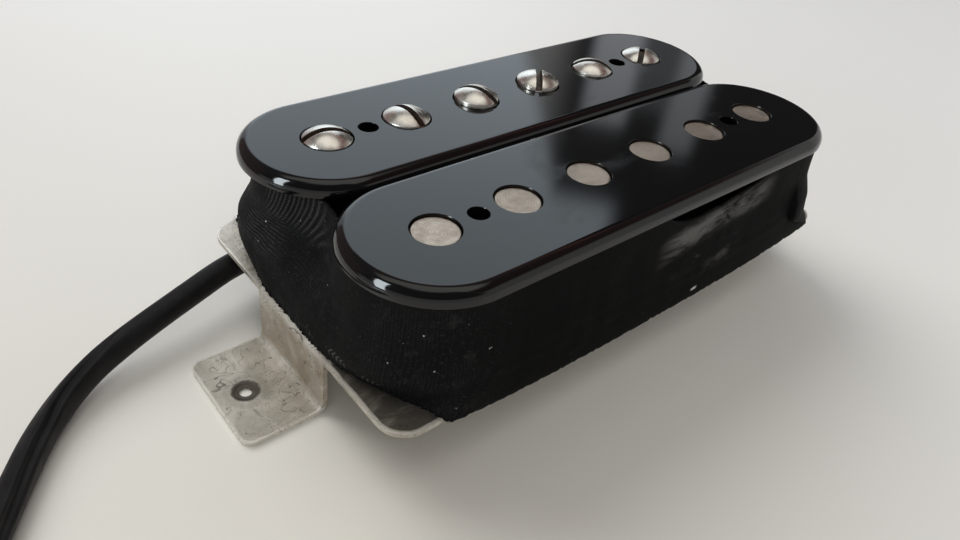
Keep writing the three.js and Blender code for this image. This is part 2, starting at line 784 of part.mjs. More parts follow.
// The least gap between two turns of the coil, measured on points along its middle line
function leastGap(places, diameter) {
  const fine = new THREE.CatmullRomCurve3(places, false, 'centripetal').getSpacedPoints(lastStep * 10);
  const spacing = fine[0].distanceTo(fine[1]);
  const apart = Math.ceil(2 * diameter / spacing);
  let least = Infinity;
  for (let i = 0; i < fine.length; i += 1) {
    for (let k = i + apart; k < fine.length; k += 1) least = Math.min(least, fine[i].distanceTo(fine[k]));
  }
  return least - diameter;
}
console.log(`cable_coil: least gap to itself ${leastGap(wound, jacketDiameter).toFixed(2)} mm`);

// The free stretch of lead, from under the baseplate to the coil
const coilStart = stepPast(coilEntry, entryHeading, -buttGap);
const jacketPath = [
  ...jacketRoute.map((p) => new THREE.Vector3(...p)),
  stepPast(coilStart, entryHeading, -jacketDiameter),
  coilStart,
];
addPiece('cable', tubeAlong(jacketPath, jacketDiameter, 8, 2), 'jacket');

// Inside the pickup the jacket ends under the baseplate. Its four wires rise through the slot, and each
// is joined in a sleeve to one end of a winding, which goes up through a notch to the wrap.

// The same place in each lane: across the bundle in Y, and square to the route in XZ.
function laneRoute([across, above]) {
  const last = wireRoute.length - 1;
  return wireRoute.map(([x, z], i) => {
    const [ax, az] = wireRoute[Math.max(i - 1, 0)];
    const [bx, bz] = wireRoute[Math.min(i + 1, last)];
    const length = Math.hypot(bx - ax, bz - az);
    const step = wireStep + (sleeveStep - wireStep) * i / last;
    const off = above * step;
    return new THREE.Vector3(
      x - off * (bz - az) / length,
      leadSlotY + across * step,
      z + off * (bx - ax) / length,
    );
  });
}

function leadUp(along, x, side) {
  const y = side * (rowOffset + notchFloor + buttGap + coilLeadDiameter / 2);
  const before = along[along.length - 1];
  const towards = Math.sign(x - before.x);
  return [
    ...along,
    new THREE.Vector3(x - towards * coilLeadDiameter * 2, y, before.z),
    new THREE.Vector3(x - towards * coilLeadDiameter / 2, y, (before.z * 2 + bobbinBottom) / 3),
    new THREE.Vector3(x, y, bobbinBottom),
    new THREE.Vector3(x, y, windingBottom + leadTailHeight / 2),
    new THREE.Vector3(x, y, windingBottom + leadTailHeight),
  ];
}

const lanes = [
  { colour: 'Red', place: [1, 1], coil: 'screw', notch: 0 },
  { colour: 'White', place: [1, -1], coil: 'screw', notch: 1 },
  { colour: 'Green', place: [-1, 1], coil: 'slug', notch: 0 },
  { colour: 'Black', place: [-1, -1], coil: 'slug', notch: 1 },
];

for (const { colour, place, coil, notch } of lanes) {
  const route = laneRoute(place);
  const end = route[route.length - 1];
  const tag = colour.toLowerCase();
  addPiece(`inner_wire_${tag}`, tubeAlong(route, wireDiameter, 8, 2), `wire${colour}`);

  const sleeve = new THREE.CylinderGeometry(
    sleeveDiameter / 2,
    sleeveDiameter / 2,
    sleeveLength,
    smallRoundSteps,
  ).rotateZ(Math.PI / 2);
  addPiece(`splice_sleeve_${tag}`, sleeve, 'wrapTape')
    .position.set(end.x + buttGap + sleeveLength / 2, end.y, end.z);

  const start = new THREE.Vector3(end.x + sleeveLength + buttGap * 2, end.y, end.z);
  const side = coil === 'screw' ? 1 : -1;
  const way = side > 0 ? [] : slugLeadRoute.map(([x, y]) => new THREE.Vector3(x, y, end.z));
  const along = [start, stepPast(start, new THREE.Vector3(1, 0, 0), coilLeadDiameter * 2), ...way];
  const lead = leadUp(along, notchPlaces[coil][notch], side);
  addPiece(`${coil}_coil_lead_${notch + 1}`, tubeAlong(lead, coilLeadDiameter, 8, 2), `wire${colour}`);
}

// The screen of the lead, soldered to the underside of the baseplate
const shieldPath = shieldRoute.map(([x, y, z]) => new THREE.Vector3(x, leadSlotY + y, z));
addPiece('inner_shield_wire', tubeAlong(shieldPath, bareWireDiameter, 8, 2), 'tinnedWire');
const solderTop = underPlateHeight - buttGap / 3;
const solderDrop = turned([
  [solderRadius * 0.45, solderTop - solderHeight],
  [solderRadius * 0.85, solderTop - solderHeight * 0.75],
  [solderRadius, solderTop - solderHeight * 0.3],
  [solderRadius, solderTop],
], 0, 0, smallRoundSteps);
addPiece('shield_solder', solderDrop, 'solder').position.set(solderPlace[0], leadSlotY + solderPlace[1], 0);

// The far end of the lead: four wires and the screen fan out inside the coil and come down to lie flat.
const across = new THREE.Vector3(-exitHeading.y, exitHeading.x, 0);

function fanned({ offset, diameter, turn, length }) {
  const [sideways, above] = offset;
  const place = stepPast(coilExit, exitHeading, buttGap).addScaledVector(across, sideways);
  const heading = Math.atan2(exitHeading.y, exitHeading.x);
  const stride = length / fanSteps;
  const low = diameter / 2 + restingGap;
  return Array.from({ length: fanSteps + 1 }, (_, i) => {
    const share = i / fanSteps;
    const fall = Math.min(1, Math.max(0, (share - fanFallShares[0]) / (fanFallShares[1] - fanFallShares[0])));
    const bend = Math.max(0, share - fanStraightShare) / (1 - fanStraightShare);
    const angle = heading - THREE.MathUtils.degToRad(turn) * bend;
    if (i > 0) place.add(new THREE.Vector3(Math.cos(angle), Math.sin(angle), 0).multiplyScalar(stride));
    const start = jacketRadius + above;
    return new THREE.Vector3(place.x, place.y, start + (low - start) * fall * fall * (3 - 2 * fall));
  });
}

for (const { name, finish, ...way } of farWires) {
  addPiece(name, tubeAlong(fanned(way), way.diameter, 8, 2), finish);
}

export default pickup;
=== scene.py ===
import functools
import math

import bmesh
import bpy
import numpy as np
from mathutils import Matrix, Vector, noise
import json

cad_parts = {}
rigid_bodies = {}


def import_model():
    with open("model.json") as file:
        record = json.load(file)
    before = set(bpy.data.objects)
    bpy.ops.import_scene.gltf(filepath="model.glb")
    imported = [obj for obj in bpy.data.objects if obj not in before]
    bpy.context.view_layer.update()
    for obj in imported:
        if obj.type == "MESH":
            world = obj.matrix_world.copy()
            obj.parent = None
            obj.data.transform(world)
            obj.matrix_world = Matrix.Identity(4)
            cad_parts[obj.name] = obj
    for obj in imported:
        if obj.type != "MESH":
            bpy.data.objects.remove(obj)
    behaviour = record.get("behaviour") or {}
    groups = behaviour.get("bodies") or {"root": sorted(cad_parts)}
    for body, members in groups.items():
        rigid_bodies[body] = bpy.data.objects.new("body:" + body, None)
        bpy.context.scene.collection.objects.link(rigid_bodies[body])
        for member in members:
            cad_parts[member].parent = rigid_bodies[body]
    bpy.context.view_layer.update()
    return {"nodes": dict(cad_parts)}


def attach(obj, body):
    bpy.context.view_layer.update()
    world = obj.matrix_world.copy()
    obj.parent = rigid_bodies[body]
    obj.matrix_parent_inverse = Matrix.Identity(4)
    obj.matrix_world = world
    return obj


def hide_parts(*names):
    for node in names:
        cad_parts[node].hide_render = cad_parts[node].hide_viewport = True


for spare in list(bpy.data.objects):
    bpy.data.objects.remove(spare)
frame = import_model()

mm = 0.001
poleXs = [10 * i - 25 for i in range(6)]
rowY = 9.3  # the screw row is at +rowY and the slug row at -rowY
poleReach = 25
plateTop = 7.5
bobbinTop = 21.0


# small helpers: shapes are in millimetres, and mm turns them into metres

def node(tree, kind, inputs=(), **settings):
    made = tree.nodes.new(kind)
    for key, value in settings.items():
        setattr(made, key, value)
    for key, value in dict(inputs).items():
        if isinstance(value, bpy.types.NodeSocket):
            tree.links.new(value, made.inputs[key])
        else:
            made.inputs[key].default_value = value
    return made


def maths(operation, *values):
    # a Math node in the tree that its first linked value belongs to
    tree = next(v.id_data for v in values if isinstance(v, bpy.types.NodeSocket))
    return node(tree, "ShaderNodeMath", enumerate(values), operation=operation).outputs[0]


def plus(first, second):
    return maths("ADD", first, second)


def minus(first, second):
    return maths("SUBTRACT", first, second)


def scaled(value, factor, added):
    return maths("MULTIPLY_ADD", value, factor, added)


def most(first, *others):
    return functools.reduce(lambda a, b: maths("MAXIMUM", a, b), others, first)


def times(first, *others):
    return functools.reduce(lambda a, b: maths("MULTIPLY", a, b), others, first)


def ranged(value, low, high, toLow=0.0, toHigh=1.0):
    made = node(value.id_data, "ShaderNodeMapRange", {
        "Value": value, "From Min": low, "From Max": high, "To Min": toLow, "To Max": toHigh,
    }, interpolation_type="SMOOTHSTEP")
    return made.outputs["Result"]


def blended(share, first, second):
    made = node(share.id_data, "ShaderNodeMix", {}, data_type="RGBA")
    for key, value in (("Factor", share), ("A", first), ("B", second)):
        socket = next(s for s in made.inputs
                      if s.name == key and (key == "Factor") == (s.type == "VALUE") and s.enabled)
        if isinstance(value, bpy.types.NodeSocket):
            share.id_data.links.new(value, socket)
        else:
            socket.default_value = (*value, 1.0)
    return next(s for s in made.outputs if s.type == "RGBA")


def wavy(value, pitch):
    # 0 to 1 and back over each pitch, in millimetres
    return scaled(maths("SINE", times(value, 2 * math.pi / pitch)), 0.5, 0.5)


def within(value, low, high, soft):
    return times(ranged(value, low - soft, low + soft), ranged(value, high - soft, high + soft, 1, 0))


def speckle(vector, scale, detail=2.0, roughness=0.5, distortion=0.0):
    made = node(vector.id_data, "ShaderNodeTexNoise", {
        "Vector": vector, "Scale": scale, "Detail": detail, "Roughness": roughness, "Distortion": distortion,
    })
    return made.outputs["Fac"]


def finish(name, metallic=0.0):
    material = bpy.data.materials.new(name)
    material.use_nodes = True
    tree = material.node_tree
    shader = tree.nodes["Principled BSDF"]
    shader.inputs["Metallic"].default_value = metallic
    place = node(tree, "ShaderNodeTexCoord").outputs["Object"]
    return material, shader, place


def stretched(place, scale, turn=(0, 0, 0), shift=(0, 0, 0)):
    made = node(place.id_data, "ShaderNodeMapping", {
        "Vector": place, "Scale": scale, "Rotation": turn, "Location": shift,
    })
    return made.outputs["Vector"]


def axes(vector):
    return node(vector.id_data, "ShaderNodeSeparateXYZ", {"Vector": vector}).outputs


def dress(shader, colour, rough, height=None, distance=mm, strength=1.0, **others):
    # set or link the inputs of a material's shader
    tree = shader.id_data
    values = {"Base Color": colour, "Roughness": rough}
    values |= {key.replace("_", " "): value for key, value in others.items()}
    if height is not None:
        bump = node(tree, "ShaderNodeBump", {"Height": height, "Distance": distance, "Strength": strength})
        values["Normal"] = bump.outputs["Normal"]
    for key, value in values.items():
        if isinstance(value, bpy.types.NodeSocket):
            tree.links.new(value, shader.inputs[key])
        else:
            shader.inputs[key].default_value = value


def meshPiece(name, points, faces):
    mesh = bpy.data.meshes.new(name)
    mesh.from_pydata([Vector(p) * mm for p in points], [], faces)
    mesh.update()
    piece = bpy.data.objects.new(name, mesh)
    bpy.context.scene.collection.objects.link(piece)
    return piece


def settled(piece):
    # turn the piece and its modifiers into one plain mesh
    bpy.context.view_layer.update()
    graph = bpy.context.evaluated_depsgraph_get()
    made = piece.evaluated_get(graph)
    mesh = bpy.data.meshes.new_from_object(made, preserve_all_data_layers=True, depsgraph=graph)
    old = piece.data
    piece.modifiers.clear()
    piece.data = mesh
    bpy.data.meshes.remove(old)
    mesh.name = piece.name
    return piece


def smoothed(piece, angle):
    # smooth faces that keep their flat parts flat and their edges crisp
    for face in piece.data.polygons:
        face.use_smooth = True
    piece.data.set_sharp_from_angle(angle=math.radians(angle))
    weighted = piece.modifiers.new("flats", "WEIGHTED_NORMAL")
    weighted.keep_sharp = True
    weighted.weight = 100
    return settled(piece)


def edged(piece, width, angle):
    # take the sharpness off the edges with a narrow bevel
    bevel = piece.modifiers.new("edges", "BEVEL")
    bevel.width = width * mm
    bevel.segments = 2
    bevel.limit_method = "ANGLE"
    bevel.angle_limit = math.radians(angle)
    return settled(piece)


def carved(piece, cutters, operation="DIFFERENCE"):
    for cutter in cutters:
        cut = piece.modifiers.new("cut", "BOOLEAN")
        cut.object = cutter
        cut.operation = operation
        cut.solver = "EXACT"
    settled(piece)
    for cutter in cutters:
        bpy.data.objects.remove(cutter)
    return piece


def skinned(name, rings, closed=False):
    # a mesh over rings of equally many points, with end faces unless the last ring joins the first
    count = len(rings[0])
    faces = []
    for k in range(len(rings) if closed else len(rings) - 1):
        low, high = k * count, (k + 1) % len(rings) * count
        for i in range(count):
            j = (i + 1) % count
            faces.append((low + i, low + j, high + j, high + i))
    if not closed:
        faces.append(tuple(reversed(range(count))))
        faces.append(tuple(range((len(rings) - 1) * count, len(rings) * count)))
    return meshPiece(name, [p for ring in rings for p in ring], faces)


def circle(radius, z, x, y, steps):
    return [
        (x + radius * math.cos(2 * math.pi * i / steps), y + radius * math.sin(2 * math.pi * i / steps), z)
        for i in range(steps)
    ]


def turned(name, outline, x=0.0, y=0.0, steps=48):
    return skinned(name, [circle(radius, z, x, y, steps) for radius, z in outline])


def block(name, low, high):
    rings = [
        [(low[0], low[1], z), (high[0], low[1], z), (high[0], high[1], z), (low[0], high[1], z)]
        for z in (low[2], high[2])
    ]
    return skinned(name, rings)


def placed(piece, body, material, slot, *nodes):
    # finish a piece and hand it over in the place of its CAD nodes
    if material:
        piece.data.materials.clear()
        piece.data.materials.append(material)
    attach(piece, body)
    if nodes:
        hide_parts(*nodes)
    return piece


# camera, at the place and angle of the photograph

cameraPlace = Vector((-60.87, -51.40, 60.27)) * mm
cameraRight = Vector((0.76384, -0.63462, 0.11750))
cameraDown = Vector((-0.32553, -0.53604, -0.77891))
cameraAhead = Vector((0.55729, 0.55671, -0.61603))
camera = bpy.data.objects.new("camera", bpy.data.cameras.new("camera"))
camera.data.sensor_width = 36
camera.data.lens = 756.9 / 960 * 36
camera.data.clip_start = 0.005
turn = Matrix((cameraRight, -cameraDown, -cameraAhead)).transposed()
camera.matrix_world = Matrix.Translation(cameraPlace) @ turn.to_4x4()
bpy.context.scene.collection.objects.link(camera)
bpy.context.scene.camera = camera
bpy.context.scene.view_settings.view_transform = "Standard"
print("camera set")


# lead: one jacket from under the baseplate to the bare ends of its wires

lead = {
    "diameter": 2.9,
    "route": [
        (-26.3, 15.6, 4.4), (-30.6, 15.3, 4.4), (-35, 14.5, 4.3), (-39.6, 13.1, 3.95),
        (-44.2, 11.7, 3.4), (-48.2, 10.5, 2.8), (-51.6, 9.2, 2.2), (-55.2, 6.8, 1.75),
        (-58.2, 3.8, 1.5), (-60.6, 0.6, 1.45), (-62.7, -2.5, 1.45), (-65.3, -6.2, 1.45),
        (-68.5, -9.9, 1.45),
    ],
    "coilMiddle": (-87.8, 1.7),
    "coilRadius": 20.8,
    "coilPitch": 3.45,
    "coilTurns": 2.25,
    "coilStart": -60,
    "coilDraw": 1.6,
    "coilDrawTurns": 0.3,
    "stepsPerTurn": 24,
    # where the crease lies round the jacket: along it in millimetres, and degrees from its top
    "crease": [(0, 30), (19, 24), (22.6, 14), (26.6, -5), (29, -9), (31.3, -18), (33.8, -33), (37.7, -38),
               (40.6, -45), (60, -80), (120, -200), (320, -560)],
    # the crease itself, the lobes of the wires inside and the unevenness of the rubber
    "creaseDepth": 0.36, "creaseWidth": 0.24, "creaseFrom": 20, "creaseGrows": 6, "lip": 0.06,
    "lobe": 0.05, "lobesFrom": 9, "lobesGrow": 9, "wander": 0.04,
    "sides": 72, "spacing": 0.7,
}


def smoothStep(value):
    value = min(1, max(0, value))
    return value * value * (3 - 2 * value)


def coilPoint(step):
    turns = step / lead["stepsPerTurn"]
    drawn = smoothStep(1 - (lead["coilTurns"] - turns) / lead["coilDrawTurns"])
    radius = lead["coilRadius"] - lead["coilPitch"] * turns - lead["coilDraw"] * drawn
    angle = math.radians(lead["coilStart"]) - 2 * math.pi * turns
    x, y = lead["coilMiddle"]
    return Vector((x + radius * math.cos(angle), y + radius * math.sin(angle), lead["diameter"] / 2))


def smoothPath(points, spacing):
    # an even polyline along a centripetal curve through the points
    points = [Vector(p) for p in points]
    points = [2 * points[0] - points[1]] + points + [2 * points[-1] - points[-2]]
    fine = []
    for a, b, c, d in zip(points, points[1:], points[2:], points[3:]):
        t1 = (b - a).length ** 0.5
        t2 = t1 + (c - b).length ** 0.5
        t3 = t2 + (d - c).length ** 0.5
        for k in range(16):
            t = t1 + (t2 - t1) * k / 16
            a1 = a * ((t1 - t) / t1) + b * (t / t1)
            a2 = b * ((t2 - t) / (t2 - t1)) + c * ((t - t1) / (t2 - t1))
            a3 = c * ((t3 - t) / (t3 - t2)) + d * ((t - t2) / (t3 - t2))
            b1 = a1 * ((t2 - t) / t2) + a2 * (t / t2)
            b2 = a2 * ((t3 - t) / (t3 - t1)) + a3 * ((t - t1) / (t3 - t1))
            fine.append(b1 * ((t2 - t) / (t2 - t1)) + b2 * ((t - t1) / (t2 - t1)))
    fine.append(points[-2])
    places = np.array([tuple(p) for p in fine])
    along = np.concatenate([[0], np.cumsum(np.linalg.norm(np.diff(places, axis=0), axis=1))])
    count = max(2, round(along[-1] / spacing))
    even = np.linspace(0, along[-1], count + 1)
    return np.stack([np.interp(even, along, places[:, k]) for k in range(3)], axis=1), along[-1]


def roundTube(name, points, radius, sides, spacing, relief):
    # a closed round tube, with its own UV: around, and along in millimetres
    path, length = smoothPath(points, spacing)
    ahead = np.gradient(path, axis=0)
    ahead /= np.linalg.norm(ahead, axis=1)[:, None]
    up = Vector((0, 0, 1))
    rings = []
    for i, (place, heading) in enumerate(zip(path, ahead)):
        heading = Vector(heading)
        up = (up - heading * up.dot(heading)).normalized()
        side = heading.cross(up)
        along = length * i / (len(path) - 1)
        ring = []
        for k in range(sides):
            angle = 2 * math.pi * k / sides
            reach = radius + relief(angle, along)
            ring.append(Vector(place) + (up * math.cos(angle) + side * math.sin(angle)) * reach)
        rings.append(ring)
    piece = skinned(name, rings)
    piece.data.flip_normals()
    uv = piece.data.uv_layers.new(name="UVMap")
    for loop in piece.data.loops:
        ring, k = divmod(loop.vertex_index, sides)
        uv.data[loop.index].uv = (k / sides, length * ring / (len(path) - 1))
    for face in piece.data.polygons:
        face.use_smooth = len(face.vertices) == 4
    return piece, path, length


lastStep = round(lead["coilTurns"] * lead["stepsPerTurn"])
coilPoints = [coilPoint(i) for i in range(lastStep + 1)]
coilIn = (coilPoint(0.01) - coilPoint(0)).normalized()
coilOut = (coilPoint(lastStep) - coilPoint(lastStep - 0.01)).normalized()
coilEntry = coilPoints[0] - coilIn * lead["diameter"]
coilExit = coilPoints[-1] + coilOut * lead["diameter"]
leadPoints = [Vector(p) for p in lead["route"]]
leadPoints += [coilEntry - coilIn * lead["diameter"], coilEntry, *coilPoints, coilExit]


def leadRelief(angle, along):
    # the jacket has shrunk on to the twisted wires away from the pickup, and one deep crease runs along it
    turn = math.radians(np.interp(along, *zip(*lead["crease"])))
    away = (angle - turn + math.pi) % (2 * math.pi) - math.pi
    width = lead["creaseWidth"]
    opened = smoothStep((along - lead["creaseFrom"]) / lead["creaseGrows"])
    groove = lead["creaseDepth"] * math.exp(-((away / width) ** 2))
    lip = lead["lip"] * math.exp(-(((abs(away) - 2.1 * width) / (0.9 * width)) ** 2))
    shrunk = smoothStep((along - lead["lobesFrom"]) / lead["lobesGrow"])
    lobes = lead["lobe"] * (math.cos(3 * away) - 1) * shrunk
    wander = noise.noise(Vector((math.cos(angle) * 1.5, math.sin(angle) * 1.5, along / 6)))
    return lobes + opened * (lip - groove) + lead["wander"] * (wander - 0.6)


jacket, jacketPath, jacketLength = roundTube(
    "lead_jacket", leadPoints, lead["diameter"] / 2, lead["sides"], lead["spacing"], leadRelief,
)
print(f"lead laid, {jacketLength:.1f} mm long")


# floor, world and lights

def pane(azimuth, elevation, sides, soft):
    # a soft-edged patch of sky, between azimuths and elevations in degrees
    left, right, low, high = sides
    return times(within(azimuth, left, right, soft), within(elevation, low, high, soft))


room = {
    "walls": (0.54, 0.54, 0.53), "ceiling": (0.98, 0.96, 0.91), "ceilingFrom": (58, 66),
    "side": (0.19, 0.135, 0.13), "shelf": (0.11, 0.105, 0.10), "front": (0.11, 0.055, 0.055),
    "behind": (0.07, 0.068, 0.07), "dim": (0.03, 0.03, 0.03), "gap": (0.9, 0.95, 1.0),
    "blush": (0.62, 0.22, 0.18), "window": (1.22, 1.38, 1.50),
}
# for each patch its azimuths and elevations in degrees, and how soft its edges are
patches = {
    "side": ((64, 152, -20, 60), 4), "shelf": ((11, 152, 44, 70), 3), "front": ((-72, 11, 33, 60), 4),
    "behindLeft": ((-200, -70, 18, 74), 6), "behindRight": ((146, 200, 18, 74), 6),
    "dim": ((11, 41, -10, 50), 2), "blush": ((4, 64, 45, 49), 1.2),
    "window": ((42.4, 82, 3, 43), 0.9), "windowCorner": ((34.2, 60, 31.4, 43), 1.0),
}
# light gaps in the dim furniture beside the window, and how bright each is
gaps = [((35.2, 38.8, 17, 25.6), 0.9), ((29.6, 32.2, 16, 26.5), 0.62), ((32.2, 35.2, 15, 24), 0.2)]


def lightWorld():
    world = bpy.data.worlds.new("room")
    world.use_nodes = True
    tree = world.node_tree
    x, y, z = axes(node(tree, "ShaderNodeTexCoord").outputs["Generated"])
    azimuth = maths("DEGREES", maths("ARCTAN2", y, x))
    elevation = maths("DEGREES", maths("ARCSINE", z))
    slanted = plus(azimuth, times(minus(elevation, 25), 0.45))

    def patch(name, around=azimuth):
        return pane(around, elevation, *patches[name])

    colour = room["walls"]
    for name in ("side", "shelf", "front"):
        colour = blended(patch(name), colour, room[name])
    colour = blended(ranged(elevation, *room["ceilingFrom"]), colour, room["ceiling"])
    colour = blended(most(patch("behindLeft"), patch("behindRight")), colour, room["behind"])
    colour = blended(patch("dim"), colour, room["dim"])
    for sides, level in gaps:
        colour = blended(times(pane(azimuth, elevation, sides, 0.6), level), colour, room["gap"])
    colour = blended(times(patch("blush"), 0.6), colour, room["blush"])
    window = most(patch("window", slanted), patch("windowCorner"))
    colour = blended(times(window, ranged(azimuth, 70, 84, 1, 0.35)), colour, room["window"])
    tree.links.new(colour, tree.nodes["Background"].inputs["Color"])
    bpy.context.scene.world = world


def areaLight(name, place, size, radiance, colour, tall=None, lean=(0, 0, 1)):
    light = bpy.data.lights.new(name, "AREA")
    light.shape = "RECTANGLE" if tall else "DISK"
    light.size = size
    if tall:
        light.size_y = tall
    light.energy = math.pi * radiance * (size * tall if tall else math.pi * size * size / 4)
    light.color = colour
    lamp = bpy.data.objects.new(name, light)
    place = Vector(place)
    back = place.normalized()
    up = (Vector(lean) - back * back.dot(Vector(lean))).normalized()
    lamp.matrix_world = Matrix.Translation(place) @ Matrix((up.cross(back), up, back)).transposed().to_4x4()
    bpy.context.scene.collection.objects.link(lamp)
    return lamp


def layFloor():
    rings = [circle(radius, z, -40, 20, 96) for radius, z in ((2400, -8), (2400, 0), (1200, 0), (300, 0))]
    floor = skinned("table", rings)
    material, shader, place = finish("pale_table")
    # painted shade, deeper and warmer, round the near left corner where less light falls; painted light far
    # off
    near = stretched(place, (1000, 1000, 0), shift=(50, 25, 0))
    reach = node(shader.id_data, "ShaderNodeVectorMath", {0: near}, operation="LENGTH").outputs["Value"]
    colour = blended(ranged(reach, 0, 75), (0.79, 0.772, 0.715), (0.84, 0.835, 0.805))
    colour = blended(ranged(reach, 60, 220), colour, (0.90, 0.91, 0.915))
    colour = blended(ranged(speckle(place, 9, 3), 0.3, 0.7, 0, 0.1), colour, (0.80, 0.79, 0.765))
    dress(shader, colour, 0.42, speckle(place, 700, 3, 0.6), 0.00002, 0.3, Specular_IOR_Level=0.35)
    floor.data.materials.append(material)


lightWorld()
key = areaLight("key", (-0.12, 1.12, 0.96), 1.24, 4.0, (1.0, 0.99, 0.975))
fill = areaLight("fill", (-0.5, -0.9, 1.45), 1.8, 0.85, (1.0, 0.99, 0.945))
key.visible_glossy = fill.visible_glossy = False
glint = areaLight("glint", (-0.556, 0.052, 0.324), 0.13, 13.0, (0.86, 0.95, 1.0),
                  tall=0.56, lean=(0.275, 0.104, 0.455))
glint.visible_diffuse = False
layFloor()
print("room lit")


# bobbins: a core between two flanges, drawn from the winding out to a rounded top edge

bobbin = {
    "flange": 9.1, "lowerFlange": 9.0, "core": 3.6,
    "bottom": 10.7, "windingBottom": 11.9, "windingTop": 19.4,
    "edge": 1.3, "lip": 0.06,
    "bore": 1.1, "boreX": 20,
    "head": 2.78, "headLedge": 18, "shank": 1.71,
    "slug": 2.46,
    "notchWidth": 1.6, "notchReach": 7.05,
    "notches": {"screw": (3, 7), "slug": (18, 14)},
}


def stadium(radius, y, z, steps=40):
    # a slot shape about the row of poles, with a point beside each pole on its straight sides
    turns = [math.pi * i / steps - math.pi / 2 for i in range(steps + 1)]
    left = [(-poleReach - radius * math.cos(a), y - radius * math.sin(a), z) for a in turns]
    right = [(poleReach + radius * math.cos(a), y + radius * math.sin(a), z) for a in turns]
    middle = [(x, y - radius, z) for x in poleXs[1:-1]]
    far = [(x, y + radius, z) for x in reversed(poleXs[1:-1])]
    return left + middle + right + far


def mouthed(name, parts, top, lip, x, y, steps=64):
    # a cutter for a hole whose mouth is rounded
    radius = parts[-1][0]
    angles = [math.pi / 2 * i / 4 for i in range(4)]
    rounding = [(radius + lip * (1 - math.cos(a)), top - lip * (1 - math.sin(a))) for a in angles]
    reach = radius + lip * 1.15
    return turned(name, [*parts, *rounding, (reach, top + lip * 0.6), (reach, top + 1)], x, y, steps)


def makeBobbin(name, y, kind):
    b = bobbin
    flange, edge = b["flange"], b["edge"]
    angles = [math.pi / 2 * i / 14 for i in range(15)]
    rounding = [(flange - edge * (1 - math.cos(a)), bobbinTop - edge * (1 - math.sin(a))) for a in angles]
    outline = [
        (b["lowerFlange"] - b["lip"], b["bottom"]), (b["lowerFlange"], b["bottom"] + b["lip"]),
        (b["lowerFlange"], b["windingBottom"] - b["lip"]), (b["lowerFlange"] - b["lip"], b["windingBottom"]),
        (b["core"], b["windingBottom"]), (b["core"], b["windingTop"]),
        (b["flange"] - b["lip"], b["windingTop"]), (b["flange"], b["windingTop"] + b["lip"]),
        *rounding,
    ]
    body = skinned(name, [stadium(radius, y, z) for radius, z in outline])
    low = b["bottom"] - 1
    cutters = []
    for x in poleXs:
        if kind == "screw":
            parts = [(b["shank"], low), (b["shank"], b["headLedge"]), (b["head"], b["headLedge"])]
        else:
            parts = [(b["slug"], low)]
        cutters.append(mouthed("hole", parts, bobbinTop, b["lip"], x, y))
    for x in (-b["boreX"], b["boreX"]):
        cutters.append(mouthed("bore", [(b["bore"], low)], bobbinTop, b["lip"], x, y, 40))
    side = 1 if y > 0 else -1
    for x in b["notches"][kind]:
        near, far = sorted((y + side * b["notchReach"], y + side * (b["lowerFlange"] + 1)))
        half = b["notchWidth"] / 2
        cutters.append(block("notch", (x - half, near, low), (x + half, far, b["windingBottom"] + 0.1)))
    return smoothed(carved(body, cutters), 32)


def glossPlastic():
    # polished black moulding, with handling marks and fine scratches
    material, shader, place = finish("gloss_plastic")
    smudge = ranged(speckle(stretched(place, (90, 130, 90)), 1, 5, 0.62, 0.6), 0.52, 0.74)
    rough = plus(0.075, times(smudge, 0.09))
    heights = []
    for turnedBy, size in ((0.4, 1.0), (-0.9, 1.3), (1.7, 0.8)):
        lines = speckle(stretched(place, (2600 * size, 90, 90), (0, 0, turnedBy)), 1, 1, 0.4)
        heights.append(ranged(lines, 0.74, 0.8))
    scratch = functools.reduce(plus, heights)
    wave = speckle(place, 60, 1)
    height = minus(times(wave, 0.5), times(scratch, 0.02))
    dress(shader, (0.0042, 0.0042, 0.0045, 1), rough, height, 0.00004, 0.35, IOR=1.5)
    return material


plastic = glossPlastic()
for name, y, kind in (("screw_bobbin_fine", rowY, "screw"), ("slug_bobbin_fine", -rowY, "slug")):
    placed(makeBobbin(name, y, kind), "pickup", plastic, "gloss_plastic", name[:-5])
print("bobbins moulded")


# pole screws: turned heads, and a shared Geometry Nodes thread below them

threadSteps = 28
poleScrew = {
    "head": 2.62, "headSide": 1.15, "dome": 1.0, "rounding": 0.08,
    "slotWidth": 0.8, "slotDepth": 1.35, "slotEdge": 0.05,
    "thread": 1.55, "pitch": 0.635, "threadDepth": 0.36, "threadEnd": 0.4,
    "shankLength": 15.9, "tip": 0.5, "neck": 0.15, "seam": 0.02, "apexFlat": 0.1,
    "dirtFrom": 0.12, "dirtMargin": 0.05,
    "apexes": (1.001, 1.1, 1.452, 1.452, 1.199, 1.0505),
    "turns": (-14, 96, 112, 50, -45, 38),
}


def grower(name, **inputs):
    # a Geometry Nodes tree and its named inputs, which always include the geometry and the material
    tree = bpy.data.node_groups.new(name, "GeometryNodeTree")
    for key, kind in (("Geometry", "Geometry"), *inputs.items(), ("Material", "Material")):
        tree.interface.new_socket(key, in_out="INPUT", socket_type="NodeSocket" + kind)
    tree.interface.new_socket("Geometry", in_out="OUTPUT", socket_type="NodeSocketGeometry")
    return tree, node(tree, "NodeGroupInput").outputs


def grown(tree, geometry, source):
    # the end of every tree: its instances made real and painted
    solid = node(tree, "GeometryNodeRealizeInstances", {"Geometry": geometry})
    paint = {"Geometry": solid.outputs[0], "Material": source["Material"]}
    painted = node(tree, "GeometryNodeSetMaterial", paint)
    node(tree, "NodeGroupOutput", {0: painted.outputs[0]})
    return tree


